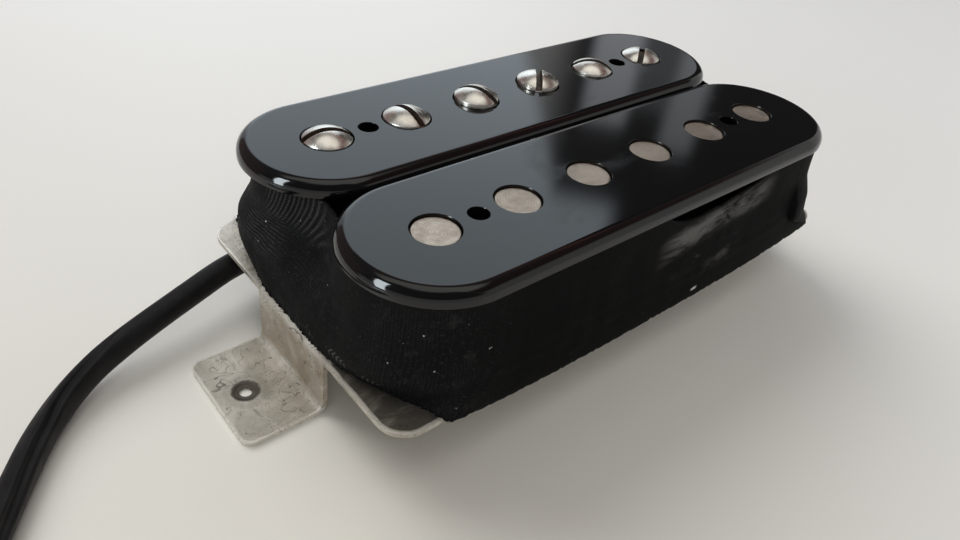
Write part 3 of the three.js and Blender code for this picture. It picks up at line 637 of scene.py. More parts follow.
def threadTree():
    # a helical ridge round the Z axis, standing outwards where Outward is 1 and inwards where it is -1
    tree, source = grower("thread", Radius="Float", Depth="Float", Pitch="Float", Length="Float",
                          Place="Vector", Steps="Int", Outward="Float")
    turns = maths("DIVIDE", source["Length"], source["Pitch"])
    rise = times(source["Depth"], source["Outward"])
    root = minus(source["Radius"], rise)
    spiral = node(tree, "GeometryNodeCurveSpiral", {
        "Resolution": source["Steps"], "Rotations": turns, "Height": source["Length"],
        "Start Radius": root, "End Radius": root,
    })
    upright = node(tree, "GeometryNodeSetCurveNormal", {"Curve": spiral.outputs[0]}, mode="Z_UP")
    corners = []
    for away, across in ((0.02, 0.46), (-1.0, 0.07), (-1.0, -0.07), (0.02, -0.46)):
        spread = times(source["Pitch"], source["Outward"], across)
        corners.append(node(tree, "ShaderNodeCombineXYZ", {"X": times(rise, away), "Y": spread}).outputs[0])
    points = {f"Point {i}": corner for i, corner in enumerate(corners, 1)}
    profile = node(tree, "GeometryNodeCurvePrimitiveQuadrilateral", points, mode="POINTS")
    ridge = node(tree, "GeometryNodeCurveToMesh", {
        "Curve": upright.outputs[0], "Profile Curve": profile.outputs[0], "Fill Caps": True,
    })
    moved = node(tree, "GeometryNodeTransform", {
        "Geometry": ridge.outputs[0], "Translation": source["Place"],
    })
    both = tree.nodes.new("GeometryNodeJoinGeometry")
    tree.links.new(moved.outputs[0], both.inputs[0])
    tree.links.new(source["Geometry"], both.inputs[0])
    return grown(tree, both.outputs[0], source)


def growing(piece, tree, values):
    # run a node tree on the piece with its named inputs set, and keep the mesh
    modifier = piece.modifiers.new(tree.name, "NODES")
    modifier.node_group = tree
    names = {item.name: item.identifier for item in tree.interface.items_tree if item.in_out == "INPUT"}
    for name, value in values.items():
        modifier[names[name]] = value
    return settled(piece)


threads = threadTree()


def threaded(piece, material, radius, depth, pitch, length, place, outward):
    return growing(piece, threads, {
        "Radius": radius * mm, "Depth": depth * mm, "Pitch": pitch * mm, "Length": length * mm,
        "Place": tuple(c * mm for c in place), "Steps": threadSteps, "Outward": outward,
        "Material": material,
    })


def nickelPlate():
    # plating that has dulled unevenly, with fine lines from handling
    material, shader, place = finish("nickel_plate", 1.0)
    patch = speckle(place, 420, 4, 0.6)
    colour = blended(ranged(patch, 0.42, 0.72), (0.84, 0.80, 0.735), (0.70, 0.655, 0.585))
    pits = ranged(speckle(place, 2400, 3, 0.6), 0.66, 0.74)
    colour = blended(times(pits, 0.5), colour, (0.30, 0.27, 0.23))
    rough = ranged(speckle(place, 900, 3, 0.6), 0.35, 0.75, 0.24, 0.38)
    lines = speckle(stretched(place, (9000, 400, 400), (0, 0, 0.7)), 1, 2, 0.5)
    dress(shader, colour, rough, lines, 0.00002, 0.25)
    return material


def slotDirt():
    # old dirt on the floor and walls of a slot
    material, shader, place = finish("slot_dirt")
    crusted = ranged(speckle(place, 1900, 4, 0.65), 0.35, 0.65)
    colour = blended(crusted, (0.10, 0.062, 0.038), (0.022, 0.014, 0.009))
    dress(shader, colour, 0.62, crusted, 0.00003, 0.5)
    return material


def makePoleScrew(i, material, dirt):
    p = poleScrew
    apex = bobbinTop + p["apexes"][i]
    shoulder = apex - p["dome"]
    under = shoulder - p["headSide"]
    tip = under - p["shankLength"]
    core = p["thread"] - p["threadDepth"]
    # the dome is a cap of a sphere of this radius
    bend = (p["head"] ** 2 + p["dome"] ** 2) / (2 * p["dome"])

    def domeHeight(radius):
        return apex - bend + math.sqrt(bend ** 2 - min(radius, p["head"]) ** 2)

    reaches = [p["head"] * math.cos(math.pi / 2 * k / 16) for k in range(1, 16)]
    dome = [(radius, domeHeight(radius)) for radius in reaches]
    head = turned("pole_screw", [
        (core - p["tip"], tip), (core, tip + p["tip"]), (core, under - p["neck"]), (p["thread"], under),
        (p["head"] - p["rounding"], under), (p["head"], under + p["rounding"]),
        (p["head"], shoulder - p["rounding"]), (p["head"] - p["seam"], shoulder),
        *dome, (p["apexFlat"], apex),
    ], steps=64)
    half = p["slotWidth"] / 2
    slot = block("slot", (-4, -half, apex - p["slotDepth"]), (4, half, apex + 1))
    aim = Matrix.Rotation(math.radians(p["turns"][i]), 4, "Z")
    slot.data.transform(aim)
    edged(carved(head, [slot]), p["slotEdge"], 38)
    threaded(head, material, p["thread"], p["threadDepth"], p["pitch"],
             p["shankLength"] - p["tip"] - p["threadEnd"], (0, 0, tip + p["tip"]), 1.0)
    head.data.materials.clear()
    for stuff in (material, dirt):
        head.data.materials.append(stuff)
    for face in head.data.polygons:
        middle = aim.inverted() @ face.center / mm
        sunk = domeHeight(middle.xy.length) - middle.z
        between = abs(middle.y) < half + p["seam"] and middle.xy.length < p["head"] - p["seam"]
        above = middle.z > apex - p["slotDepth"] - p["dirtMargin"]
        face.material_index = int(between and above and sunk > p["dirtFrom"])
    head.data.transform(Matrix.Translation(Vector((poleXs[i], rowY, 0)) * mm))
    head.name = head.data.name = f"pole_screw_{i + 1}_fine"
    return smoothed(head, 30)


plated, dirt = nickelPlate(), slotDirt()
for i in range(6):
    name = f"pole_screw_{i + 1}"
    placed(makePoleScrew(i, plated, dirt), name, None, "nickel_plate", name)
print("pole screws cut")


# slugs: turned faces with fine rings, six copies standing along the row

slug = {
    "radius": 2.4, "low": plateTop, "top": bobbinTop - 0.25, "chamfer": 0.15,
    "ringPitch": 0.26, "ringDepth": 0.006, "dishDepth": 0.02,
}


def slugRowTree():
    tree, source = grower("slug_row", Start="Vector", Step="Vector", Count="Int")
    row = node(tree, "GeometryNodeMeshLine", {
        "Count": source["Count"], "Start Location": source["Start"], "Offset": source["Step"],
    }, mode="OFFSET")
    turn = node(tree, "FunctionNodeRandomValue", {"Seed": 4}, data_type="FLOAT_VECTOR")
    turn.inputs["Max"].default_value = (0, 0, 6.28)
    copies = node(tree, "GeometryNodeInstanceOnPoints", {
        "Points": row.outputs[0], "Instance": source["Geometry"], "Rotation": turn.outputs["Value"],
    })
    return grown(tree, copies.outputs[0], source)


def slugSteel():
    # raw turned steel with uneven stains; its rings from the tool are in the shape
    material, shader, place = finish("slug_steel", 1.0)
    stain = ranged(speckle(place, 260, 5, 0.62, 0.4), 0.42, 0.72)
    colour = blended(stain, (0.60, 0.51, 0.42), (0.43, 0.36, 0.29))
    rough = ranged(speckle(place, 1500, 3), 0.3, 0.7, 0.36, 0.5)
    dress(shader, colour, rough, speckle(place, 5200, 3, 0.6), 0.00002, 0.4)
    return material


def makeSlugs(material):
    s = slug
    face = []
    count = round((s["radius"] - s["chamfer"]) / s["ringPitch"] * 4)
    for k in range(count + 1):
        radius = (s["radius"] - s["chamfer"]) * (1 - k / (count + 1))
        ring = s["ringDepth"] * (math.cos(2 * math.pi * radius / s["ringPitch"]) - 1)
        dish = s["dishDepth"] * ((radius / s["radius"]) ** 2 - 1)
        face.append((radius, s["top"] + ring + dish))
    piece = turned("slugs", [
        (s["radius"] - s["chamfer"], s["low"]), (s["radius"], s["low"] + s["chamfer"]),
        (s["radius"], s["top"] - s["chamfer"]), *face,
    ], steps=56)
    growing(piece, slugRowTree(), {
        "Start": (poleXs[0] * mm, -rowY * mm, 0), "Step": (10 * mm, 0, 0), "Count": 6, "Material": material,
    })
    return smoothed(piece, 40)


steel = slugSteel()
placed(makeSlugs(steel), "pickup", steel, "slug_steel", *[f"slug_{i}" for i in range(1, 7)])
print("slugs turned")


# baseplate: one sheet with a bent leg and a threaded foot at each end

plate = {
    "length": 70, "width": 37.2, "corner": 3, "under": 7.0, "thick": 0.5,
    "legWidth": 12.9, "bend": 0.3, "footBend": 0.9, "footReach": 8.4, "footCorner": 1.3, "edge": 0.07,
    "holeReach": 5.2, "hole": 1.1, "sink": 1.45, "sinkDepth": 0.15,
    "threadPitch": 0.16, "threadDepth": 0.45, "threadLength": 0.24, "threadStart": 0.12,
    "tipHole": 2.0, "boltHole": 1.1, "boltX": 20,
    "slot": (-21.6, 15.58, 6.4, 4.4),
    # cutters run between these heights and out to this far
    "cutLow": 5, "cutHigh": 9, "cutFar": 60,
}


def roundedOutline(length, width, radius, z, x=0.0, y=0.0, steps=10):
    points = []
    for turn, (sx, sy) in enumerate(((1, 1), (-1, 1), (-1, -1), (1, -1))):
        cx, cy = x + sx * (length / 2 - radius), y + sy * (width / 2 - radius)
        for k in range(steps + 1):
            a = math.pi / 2 * (turn + k / steps)
            points.append((cx + radius * math.cos(a), cy + radius * math.sin(a), z))
    return points


def legPiece(side):
    p = plate
    end = p["length"] / 2
    inner, outer, thick = end - p["thick"], p["bend"] + p["thick"], p["thick"]
    outerFoot = p["footBend"] + p["thick"]
    foot = end + p["footReach"]

    def arc(cx, cz, radius, first, last, steps=8):
        angles = [first + (last - first) * k / steps for k in range(steps + 1)]
        return [(cx + radius * math.cos(a), cz + radius * math.sin(a)) for a in angles]

    right = math.pi / 2
    outline = [(inner - outer, p["under"])]
    outline += arc(inner - p["bend"], p["under"] - p["bend"], p["bend"], right, 0)
    outline += arc(inner + outerFoot, outerFoot, outerFoot, math.pi, 3 * right)
    outline += [(foot, 0), (foot, thick)]
    outline += arc(inner + outerFoot, outerFoot, p["footBend"], 3 * right, math.pi)
    outline += arc(inner - p["bend"], p["under"] - p["bend"], outer, 0, right)
    outline += [(inner - outer, plateTop)]
    half = p["legWidth"] / 2
    strip = skinned("leg", [[(side * x, y, z) for x, z in outline] for y in (-half, half)])
    if side > 0:
        strip.data.flip_normals()
    ends = [roundedOutline(foot * 2, p["legWidth"], p["footCorner"], z) for z in (-1, p["cutHigh"])]
    trim = skinned("trim", ends)
    return carved(strip, [trim], "INTERSECT")


def makeBaseplate(material):
    p = plate
    low, high, far = p["cutLow"], p["cutHigh"], p["cutFar"]
    faces = [roundedOutline(p["length"], p["width"], p["corner"], z) for z in (p["under"], plateTop)]
    sheet = skinned("baseplate_fine", faces)
    legEdge = p["length"] / 2 - p["thick"] * 2 - p["bend"]
    half = p["legWidth"] / 2
    carved(sheet, [
        block("leg_gap", (legEdge, -half, low), (far, half, high)),
        block("leg_gap", (-far, -half, low), (-legEdge, half, high)),
    ])
    carved(sheet, [legPiece(1), legPiece(-1)], "UNION")
    x, y, length, width = p["slot"]
    ends = [roundedOutline(length, width, width / 2 - 0.001, z, x, y, 12) for z in (low, high)]
    cutters = [skinned("slot", ends)]
    cutters += [turned("hole", [(p["tipHole"], low), (p["tipHole"], high)], px, rowY, 40) for px in poleXs]
    bolt = [(p["boltHole"], low), (p["boltHole"], high)]
    cutters += [turned("hole", bolt, sx * p["boltX"], sy * rowY, 32) for sx in (-1, 1) for sy in (-1, 1)]
    mouth = [(p["hole"], -1), (p["hole"], p["thick"] - p["sinkDepth"]),
             (p["sink"], p["thick"]), (p["sink"] + 1, p["thick"] + 1)]
    holeX = p["length"] / 2 + p["holeReach"]
    cutters += [turned("hole", mouth, side * holeX) for side in (-1, 1)]
    edged(carved(sheet, cutters), p["edge"], 50)
    for side in (-1, 1):
        threaded(sheet, material, p["hole"] - p["threadDepth"], p["threadDepth"], p["threadPitch"],
                 p["threadLength"], (side * holeX, 0, p["threadStart"]), -1.0)
    return smoothed(sheet, 30)


def insideEdge(x, y, halfX, halfY, radius):
    # distance to a rounded rectangle about the origin, less than 0 inside it
    u = minus(maths("ABSOLUTE", x), halfX - radius)
    v = minus(maths("ABSOLUTE", y), halfY - radius)
    far = [most(value, 0) for value in (u, v)]
    corner = maths("SQRT", plus(times(far[0], far[0]), times(far[1], far[1])))
    near = maths("MINIMUM", most(u, v), 0)
    return minus(plus(corner, near), radius)


def curls(place, scale, width, distortion):
    # thin wandering lines, where a noise passes through its middle
    lines = maths("ABSOLUTE", minus(speckle(place, scale, 1, 0.5, distortion), 0.5))
    return ranged(lines, width * 0.4, width, 1, 0)


def nickelSilver():
    # rolled sheet: tarnish, scratches, worn edges with painted highlight, painted shade in holes, dark film
    # near the tape
    material, shader, place = finish("nickel_silver", 1.0)
    p = plate
    x, y, z = axes(stretched(place, (1000, 1000, 1000)))
    tarnish = ranged(speckle(place, 190, 7, 0.68, 0.6), 0.40, 0.62)
    colour = blended(tarnish, (0.66, 0.62, 0.55), (0.47, 0.435, 0.37))
    foot = ranged(z, 1.2, 0.8)
    mottle = ranged(speckle(place, 340, 6, 0.7, 0.9), 0.36, 0.6)
    colour = blended(times(foot, mottle, 0.6), colour, (0.40, 0.375, 0.32))
    blots = ranged(speckle(place, 620, 5, 0.7, 1.2), 0.585, 0.66)
    colour = blended(times(blots, 0.55), colour, (0.20, 0.185, 0.155))
    leg = times(within(z, 0.9, 6.4, 0.5), ranged(speckle(place, 300, 5, 0.7), 0.35, 0.6))
    colour = blended(times(leg, 0.75), colour, (0.40, 0.325, 0.235))
    # scratches: dark curls, and short bright hairs
    patchy = ranged(speckle(place, 150, 2, 0.5), 0.42, 0.56)
    aside = stretched(place, (1, 1, 1), shift=(0.03, 0.01, 0))
    coarse = times(curls(place, 380, 0.012, 1.6), patchy)
    scribbles = most(coarse, times(curls(aside, 640, 0.010, 1.2), minus(1, patchy)))
    colour = blended(times(scribbles, 0.7), colour, (0.085, 0.075, 0.06))
    hair = []
    for turnedBy, size in ((0.3, 1.0), (-0.9, 1.3), (1.5, 0.9)):
        lines = speckle(stretched(place, (3600 * size, 120, 600), (0, 0, turnedBy)), 1, 2, 0.5)
        hair.append(ranged(lines, 0.70, 0.76))
    scratch = most(*hair)
    colour = blended(times(scratch, 0.5), colour, (0.80, 0.77, 0.70))
    # the screw holes of the feet: worn rings round them, and painted shade darkening and dulling them inside
    ring = minus(maths("ABSOLUTE", x), p["length"] / 2 + p["holeReach"])
    reach = maths("SQRT", plus(times(ring, ring), times(y, y)))
    ragged = scaled(speckle(place, 900, 3, 0.6), 0.5, reach)
    worn = times(within(ragged, 1.9, 2.55, 0.2), wavy(reach, 0.16))
    holeShade = times(foot, ranged(ragged, 1.55, 1.9, 1, 0))
    colour = blended(times(worn, 0.4), colour, (0.16, 0.145, 0.125))
    colour = blended(times(holeShade, 0.93), colour, (0.042, 0.030, 0.022))
    # edges: the film stops short of them; they are rubbed bright and widened by a painted highlight
    top = within(z, 7.46, 7.6, 0.02)
    toPlate = insideEdge(x, y, p["length"] / 2, p["width"] / 2, p["corner"])
    toFoot = insideEdge(x, y, p["length"] / 2 + p["footReach"], p["legWidth"] / 2, p["footCorner"])
    uneven = times(speckle(place, 500, 3, 0.6), 0.3)
    toEdge = most(times(foot, plus(toFoot, 9)), times(top, plus(toPlate, 9)))
    rimWearAndHighlight = ranged(plus(toEdge, uneven), 8.86, 9.0)
    film = times(top, ranged(y, -6.9, -7.6), ranged(plus(toPlate, uneven), -0.30, -0.16, 1, 0))
    smears = ranged(speckle(stretched(place, (170, 420, 1), (0, 0, -0.5)), 1, 5, 0.7, 0.8), 0.5, 0.72)
    filmColour = blended(smears, (0.048, 0.043, 0.035), (0.17, 0.16, 0.135))
    colour = blended(times(film, 0.95), colour, filmColour)
    colour = blended(times(rimWearAndHighlight, 0.75), colour, (0.84, 0.80, 0.73))
    dull = most(film, times(holeShade, 0.8))
    oxide = ranged(speckle(place, 240, 4, 0.65), 0.3, 0.7, 0.28, 0.5)
    metal = times(oxide, scaled(dull, -0.97, 1.0))
    rough = ranged(speckle(place, 420, 5, 0.6), 0.3, 0.75, 0.32, 0.5)
    rough = scaled(film, -0.06, scaled(rimWearAndHighlight, -0.1, rough))
    pitted = speckle(place, 2600, 3, 0.6)
    height = scaled(pitted, 0.02, times(most(scratch, scribbles), -0.015))
    height = scaled(speckle(place, 700, 4, 0.6), 0.05, height)
    dress(shader, colour, rough, height, mm, 0.7, Metallic=metal)
    return material


silver = nickelSilver()
placed(makeBaseplate(silver), "pickup", silver, "nickel_silver", "baseplate")
print("baseplate bent")


# cloth tape: one band round both coils, snug under the flanges and loose over the baseplate

tape = {
    # radii round the two ends at the top and at the waist: front or far, left end, right end
    "topSlugs": (8.9, 8.8, 8.8), "topScrews": (8.4, 7.5, 8.4), "topDip": (38, 4.2),
    "waistSlugs": (9.4, 9.3, 10.1), "waistScrews": (9.4, 9.3, 9.3), "waistDip": (8, 9.3),
    "thick": 0.4, "width": 12.5,
    "topZ": 19.3, "hemZ": plateTop, "hangZ": 5.9, "hangY": 19.0, "hangX": 31,
    "lifted": (7.3, 9.0, 1.75), "liftedPowers": (3.5, 1.7), "sag": 0.35,
    "hemReach": (35, 18.6),
    "hemLeft": [(0.85, -1.032), (0.866, -0.93), (0.912, -0.755), (0.957, -0.553), (0.985, -0.376),
                (0.992, -0.25), (0.992, 0.28), (0.972, 0.475), (0.945, 0.63), (0.93, 0.8), (0.9, 1.032)],
    "hemRight": [(0.9, -1.032), (0.965, -0.95), (0.99, -0.8), (0.997, -0.5), (0.997, 0.5), (0.985, 0.85),
                 (0.94, 1), (0.9, 1.032)],
    # how far down, and there the shares of the waist, of the hem and of the sag
    "levels": [(0, 0, 0, 0), (0.2, 0.12, 0, 0.1), (0.36, 0.3, 0, 0.2), (0.5, 0.72, 0, 0.3), (0.61, 1, 0, 0.4),
               (0.74, 1, 0.05, 0.9), (0.88, 1, 0.55, 0.8), (1, 1, 1, 0)],
    "tornOut": 0.4, "tornDown": 0.26, "tornFrom": 0.93,
    "sideSteps": 150, "endSteps": 210, "rows": 44,
}


def evenly(points, steps):
    points = np.array(points, float)
    along = np.concatenate([[0], np.cumsum(np.linalg.norm(np.diff(points, axis=0), axis=1))])
    even = np.linspace(0, along[-1], steps + 1)[:-1]
    return np.stack([np.interp(even, along, points[:, k]) for k in (0, 1)], axis=1)


def bandEnd(side, slugRadius, screwRadius, dipTurn, dip):
    opening = math.radians(dipTurn)

    def arc(radius, middle, first, last):
        angles = np.linspace(first, last, 80)
        return [(poleReach + radius * math.cos(a), middle + radius * math.sin(a)) for a in angles]

    points = arc(slugRadius, -rowY, -math.pi / 2, opening)
    start, middle = np.array(points[-1]), np.array((poleReach + dip, 0.0))
    end = np.array((poleReach + screwRadius * math.cos(opening), rowY - screwRadius * math.sin(opening)))
    for t in np.linspace(0, 1, 40)[1:]:
        points.append(tuple((1 - t) ** 2 * start + 2 * t * (1 - t) * middle + t * t * end))
    points += arc(screwRadius, rowY, -opening, math.pi / 2)[1:]
    if side > 0:
        return evenly(points[::-1], tape["endSteps"])
    return evenly([(-x, y) for x, y in points], tape["endSteps"])


def bandOutline(slugs, screws, dipTurn, dip):
    front, far = -rowY - slugs[0], rowY + screws[0]
    return np.concatenate([
        evenly([(poleReach, front), (-poleReach, front)], tape["sideSteps"]),
        bandEnd(-1, slugs[1], screws[1], dipTurn, dip),
        evenly([(-poleReach, far), (poleReach, far)], tape["sideSteps"]),
        bandEnd(1, slugs[2], screws[2], dipTurn, dip),
    ])


def hemOutline():
    reachX, reachY = tape["hemReach"]
    left = [(-x * reachX, y * reachY) for x, y in tape["hemLeft"]]
    right = [(x * reachX, y * reachY) for x, y in reversed(tape["hemRight"])]
    points = np.concatenate([
        evenly([right[-1], left[0]], tape["sideSteps"]), evenly(left, tape["endSteps"]),
        evenly([left[-1], right[0]], tape["sideSteps"]), evenly(right, tape["endSteps"]),
    ])
    for _ in range(6):
        points = (np.roll(points, 1, 0) + 2 * points + np.roll(points, -1, 0)) / 4
    return points


def outwards(ring):
    away = np.roll(ring, -1, 0) - np.roll(ring, 1, 0)
    normal = np.stack([-away[:, 1], away[:, 0]], axis=1)
    return normal / np.linalg.norm(normal, axis=1)[:, None]


def eased(values, places, at):
    # a smooth monotone curve through the values
    steps = np.diff(values) / np.diff(places)
    slopes = np.zeros(len(values))
    inner = steps[:-1] * steps[1:] > 0
    slopes[1:-1][inner] = 2 * steps[:-1][inner] * steps[1:][inner] / (steps[:-1][inner] + steps[1:][inner])
    slopes[0], slopes[-1] = steps[0], steps[-1]
    k = np.clip(np.searchsorted(places, at, side="right") - 1, 0, len(places) - 2)
    span = places[k + 1] - places[k]
    t = (at - places[k]) / span
    return ((1 + 2 * t) * (1 - t) ** 2 * values[k] + t * (1 - t) ** 2 * span * slopes[k]
            + t * t * (3 - 2 * t) * values[k + 1] + t * t * (t - 1) * span * slopes[k + 1])


def tapeRelief(place, down, around):
    # folds that stand out from the plain band, in millimetres
    x, y = place
    here = Vector((around / 7, down * 1.3, 0.0))
    fold = noise.noise(here) * 0.13 + noise.noise(here * 2.3 + Vector((9, 4, 2))) * 0.08
    fold += noise.noise(Vector((around / 1.6, down * 1.2, 7.0))) * 0.04
    # a pucker under the valley between the coils, and a crease above the hem at the near corner
    valley = math.exp(-((y - 0.5) / 2.6) ** 2) * math.exp(-((down - 0.36) / 0.22) ** 2)
    wander = noise.noise(Vector((around / 2.2, 3.0, 1.0)))
    crease = math.exp(-((down - 0.9) / 0.05) ** 2) * (0.10 + 0.10 * wander)
    return fold - 0.25 * valley * (x < -26) - crease


def makeTape():
    t = tape
    topRing = bandOutline(t["topSlugs"], t["topScrews"], *t["topDip"])
    waistRing = bandOutline(t["waistSlugs"], t["waistScrews"], *t["waistDip"])
    hemRing = hemOutline()
    middle, reach, depth = t["lifted"]
    share = np.abs((topRing[:, 0] - middle) / reach)
    lifted = (topRing[:, 1] < 0) & (share < 1)
    steep = np.where(topRing[:, 0] < middle, *t["liftedPowers"])
    topZ = t["topZ"] - np.where(lifted, depth * (1 - share ** steep), 0)
    # the hem hangs lowest at the middle of the long sides, and its cut edge is ragged
    along = np.clip(1 - (np.abs(hemRing[:, 0]) / t["hangX"]) ** 3, 0, 1)
    hung = np.abs(hemRing[:, 1]) > t["hangY"]
    hemZ = t["hemZ"] - np.where(hung, (t["hemZ"] - t["hangZ"]) * along, 0)
    for _ in range(8):
        hemZ = (np.roll(hemZ, 1) + 2 * hemZ + np.roll(hemZ, -1)) / 4
    around = np.concatenate([[0], np.cumsum(np.linalg.norm(np.diff(waistRing, axis=0), axis=1))])
    levels = np.array(t["levels"], float)
    rows = np.linspace(0, 1, t["rows"] + 1)
    coarse = [noise.noise(Vector((s / 0.45, 5.0, 0.0))) for s in around]
    torn = np.array(coarse) + [0.7 * noise.noise(Vector((s / 0.21, 1.0, 3.0))) for s in around]
    outside, inside = [], []
    for down in rows:
        toWaist, toHem, sag = (float(eased(levels[:, k], levels[:, 0], down)) for k in (1, 2, 3))
        toWaist, toHem = min(max(toWaist, 0), 1), min(max(toHem, 0), 1)
        plain = topRing + (waistRing - topRing) * toWaist
        plain = plain + (hemRing - plain) * toHem
        normal = outwards(plain)
        edge = max(0, down - t["tornFrom"]) / (1 - t["tornFrom"])
        z = topZ + (hemZ - topZ) * down + np.maximum(torn * t["tornDown"] * edge, -0.06)
        quiet = math.sin(math.pi * min(1, down * 1.02)) ** 0.5 if down < 0.98 else 0.2
        relief = np.array([tapeRelief(place, down, s) for place, s in zip(plain, around)]) * quiet
        relief = relief + np.where(plain[:, 0] < -27, torn, 0) * t["tornOut"] * edge
        swell = sag * t["sag"] + relief
        outside.append(np.column_stack([plain + normal * swell[:, None], z]))
        inside.append(np.column_stack([plain + normal * (swell - t["thick"])[:, None], z]))
    rings = [[tuple(p) for p in ring] for ring in outside + inside[::-1]]
    piece = skinned("cloth_tape", rings, True)
    piece.data.flip_normals()
    uv = piece.data.uv_layers.new(name="UVMap")
    count = len(around)
    total = around[-1] + float(np.linalg.norm(waistRing[0] - waistRing[-1]))
    for face in piece.data.polygons:
        face.use_smooth = True
        first = min(i % count for i in face.vertices)
        wraps = first == 0 and max(i % count for i in face.vertices) == count - 1
        for loop in face.loop_indices:
            ring, k = divmod(piece.data.loops[loop].vertex_index, count)
            s = around[k] if not (wraps and k == 0) else total
            uv.data[loop].uv = (s, ring * t["width"] / t["rows"])
    return piece, total, outside


def clothTape():
    # woven black cloth drawn over the coils: cords where it is snug, a worn hem, grain, dust and lint
    material, shader, place = finish("cloth_tape")
    around, down, _ = axes(node(shader.id_data, "ShaderNodeUVMap", uv_map="UVMap").outputs[0])
    x, y, z = axes(stretched(place, (1000, 1000, 1000)))
    fine = speckle(place, 1600, 4, 0.65)
    slow = speckle(place, 260, 3, 0.6)
    # painted light: the left end, where light falls, has its threads, weave, grain, fluff and lint painted
    # lighter
    left = ranged(x, -20, -29)
    front = ranged(y, -17.6, -16.6, 1, 0)
    weave = times(wavy(around, 0.34), wavy(down, 0.27), ranged(slow, 0.4, 0.62, 0.1, 0.7),
                  scaled(left, 0.5, 0.25))

    def turnAbout(centre):
        ahead = minus(x, -poleReach)
        across = minus(y, centre)
        return maths("ARCTAN2", times(across, -1), times(ahead, -1))

    def ribs(turn, sides, levels, pitch, lean, power):
        below = minus(19.4, z)
        lay = scaled(times(below, below), lean, times(turn, 8.2))
        lay = scaled(slow, 0.35, lay)
        cords = maths("POWER", wavy(lay, pitch), power)
        degrees = maths("DEGREES", turn)
        return times(cords, within(degrees, *sides, 5), within(z, *levels, 0.6))

    screwEnd, slugEnd = turnAbout(rowY), turnAbout(-rowY)
    beads = ranged(wavy(scaled(fine, 0.3, down), 0.3), 0.1, 0.7, 0.35, 1)
    snugCordsSheen = times(ribs(screwEnd, (10, 57), (15.4, 19.3), 0.52, 0.085, 2.4), beads)
    loose = ribs(slugEnd, (22, 82), (8.6, 17.2), 0.46, 0.004, 0.8)
    # rows of close threads across the outer side of the screw end, and round its foot
    rowsUp = scaled(slow, 0.5, z)
    rows = times(maths("POWER", wavy(rowsUp, 0.3), 1.6), within(maths("DEGREES", screwEnd), -12, 30, 8),
                 within(z, 11.6, 16.2, 0.8), ranged(fine, 0.35, 0.6, 0.2, 1))
    hem = times(within(down, 10.4, 11.5, 0.15), ranged(x, -25, -28), within(y, -13.5, -3, 1))
    zigzag = scaled(maths("ABSOLUTE", minus(down, 11.0)), 0.5, around)
    stitch = times(hem, maths("POWER", wavy(zigzag, 0.62), 2.4), ranged(speckle(place, 420, 2), 0.46, 0.56))
    grain = ranged(speckle(place, 3400, 3, 0.6), 0.54, 0.72)
    lint = ranged(speckle(place, 2100, 2, 0.5), 0.75, 0.79)
    flecks = times(left, within(z, 12.5, 17.5, 1), ranged(speckle(place, 1700, 1, 0.5), 0.77, 0.79))
    fluff = times(left, ranged(speckle(place, 500, 5, 0.7), 0.56, 0.74))
    # dust rubbed along the front, a fainter smear under it, and one white chip at the hem
    along = minus(z, scaled(x, 0.115, 14.9))
    streaky = speckle(stretched(place, (150, 150, 420), (0, 0.5, 0)), 1, 6, 0.72, 0.7)
    rubbed = times(within(x, -0.5, 17.5, 2.2), within(along, -1.5, 1.5, 0.9), ranged(streaky, 0.36, 0.62))
    smear = times(within(x, 3, 14, 2.5), within(z, 9.6, 13, 1.0), ranged(streaky, 0.5, 0.7, 0, 0.4))
    dusty = times(most(rubbed, smear), front)
    chip = times(front, within(x, 6.1, 7.0, 0.25), within(scaled(fine, 0.4, z), 7.25, 7.6, 0.1))
    threads = most(weave, times(grain, scaled(left, 0.5, 0.3)))
    # painted light: lighter threads towards the left end
    dark = blended(left, (0.0020, 0.0020, 0.0022), (0.0040, 0.0040, 0.0043))
    light = blended(left, (0.0085, 0.0085, 0.0092), (0.028, 0.028, 0.030))
    colour = blended(threads, dark, light)
    # painted sheen: the snug cords' crests, and fainter the rows, are painted lighter; the hem stitch shares
    # this colour
    colour = blended(most(snugCordsSheen, times(rows, 0.4), stitch), colour, (0.10, 0.10, 0.108))
    colour = blended(times(fluff, 0.3), colour, (0.05, 0.05, 0.05))
    colour = blended(times(dusty, 0.9), colour, (0.15, 0.148, 0.142))
    colour = blended(times(lint, scaled(left, 0.35, 0.12)), colour, (0.38, 0.38, 0.37))
    colour = blended(most(flecks, chip), colour, (0.70, 0.70, 0.69))
    rough = minus(0.72, times(most(snugCordsSheen, stitch), 0.2))
    height = times(fine, 0.05)
    layers = ((weave, 0.03), (snugCordsSheen, 0.10), (loose, 0.05), (rows, 0.03), (stitch, 0.06), (slow, 0.08))
    for part, deep in layers:
        height = scaled(part, deep, height)
    dress(shader, colour, rough, height, Specular_IOR_Level=0.09)
    return material


# loose fibres along the cut edge: short bent hairs, grown on points that say which way is out

fibre = {
    "length": 0.42, "radius": 0.015, "bend": 0.14, "share": 0.5, "stray": 0.8, "seed": 11,
    "reach": -29, "raised": 0.08, "rooted": 0.15, "outward": 0.25,
    "long": [
        ((-33.35, 10.67, 7.9), (-1, 0.3, 0.35)), ((-33.1, 9.3, 7.9), (-1, -0.5, 0.2)),
        ((-33.2, 8.2, 7.95), (-1, -0.1, 0.3)), ((-33.4, 6.7, 7.9), (-1, 0.6, 0.1)),
        ((-33.6, 7.5, 8.1), (-0.6, -1, 0.4)), ((-33.3, 9.9, 8.4), (-0.5, 1, 0.5)),
    ],
    "longLength": 2.1,
}


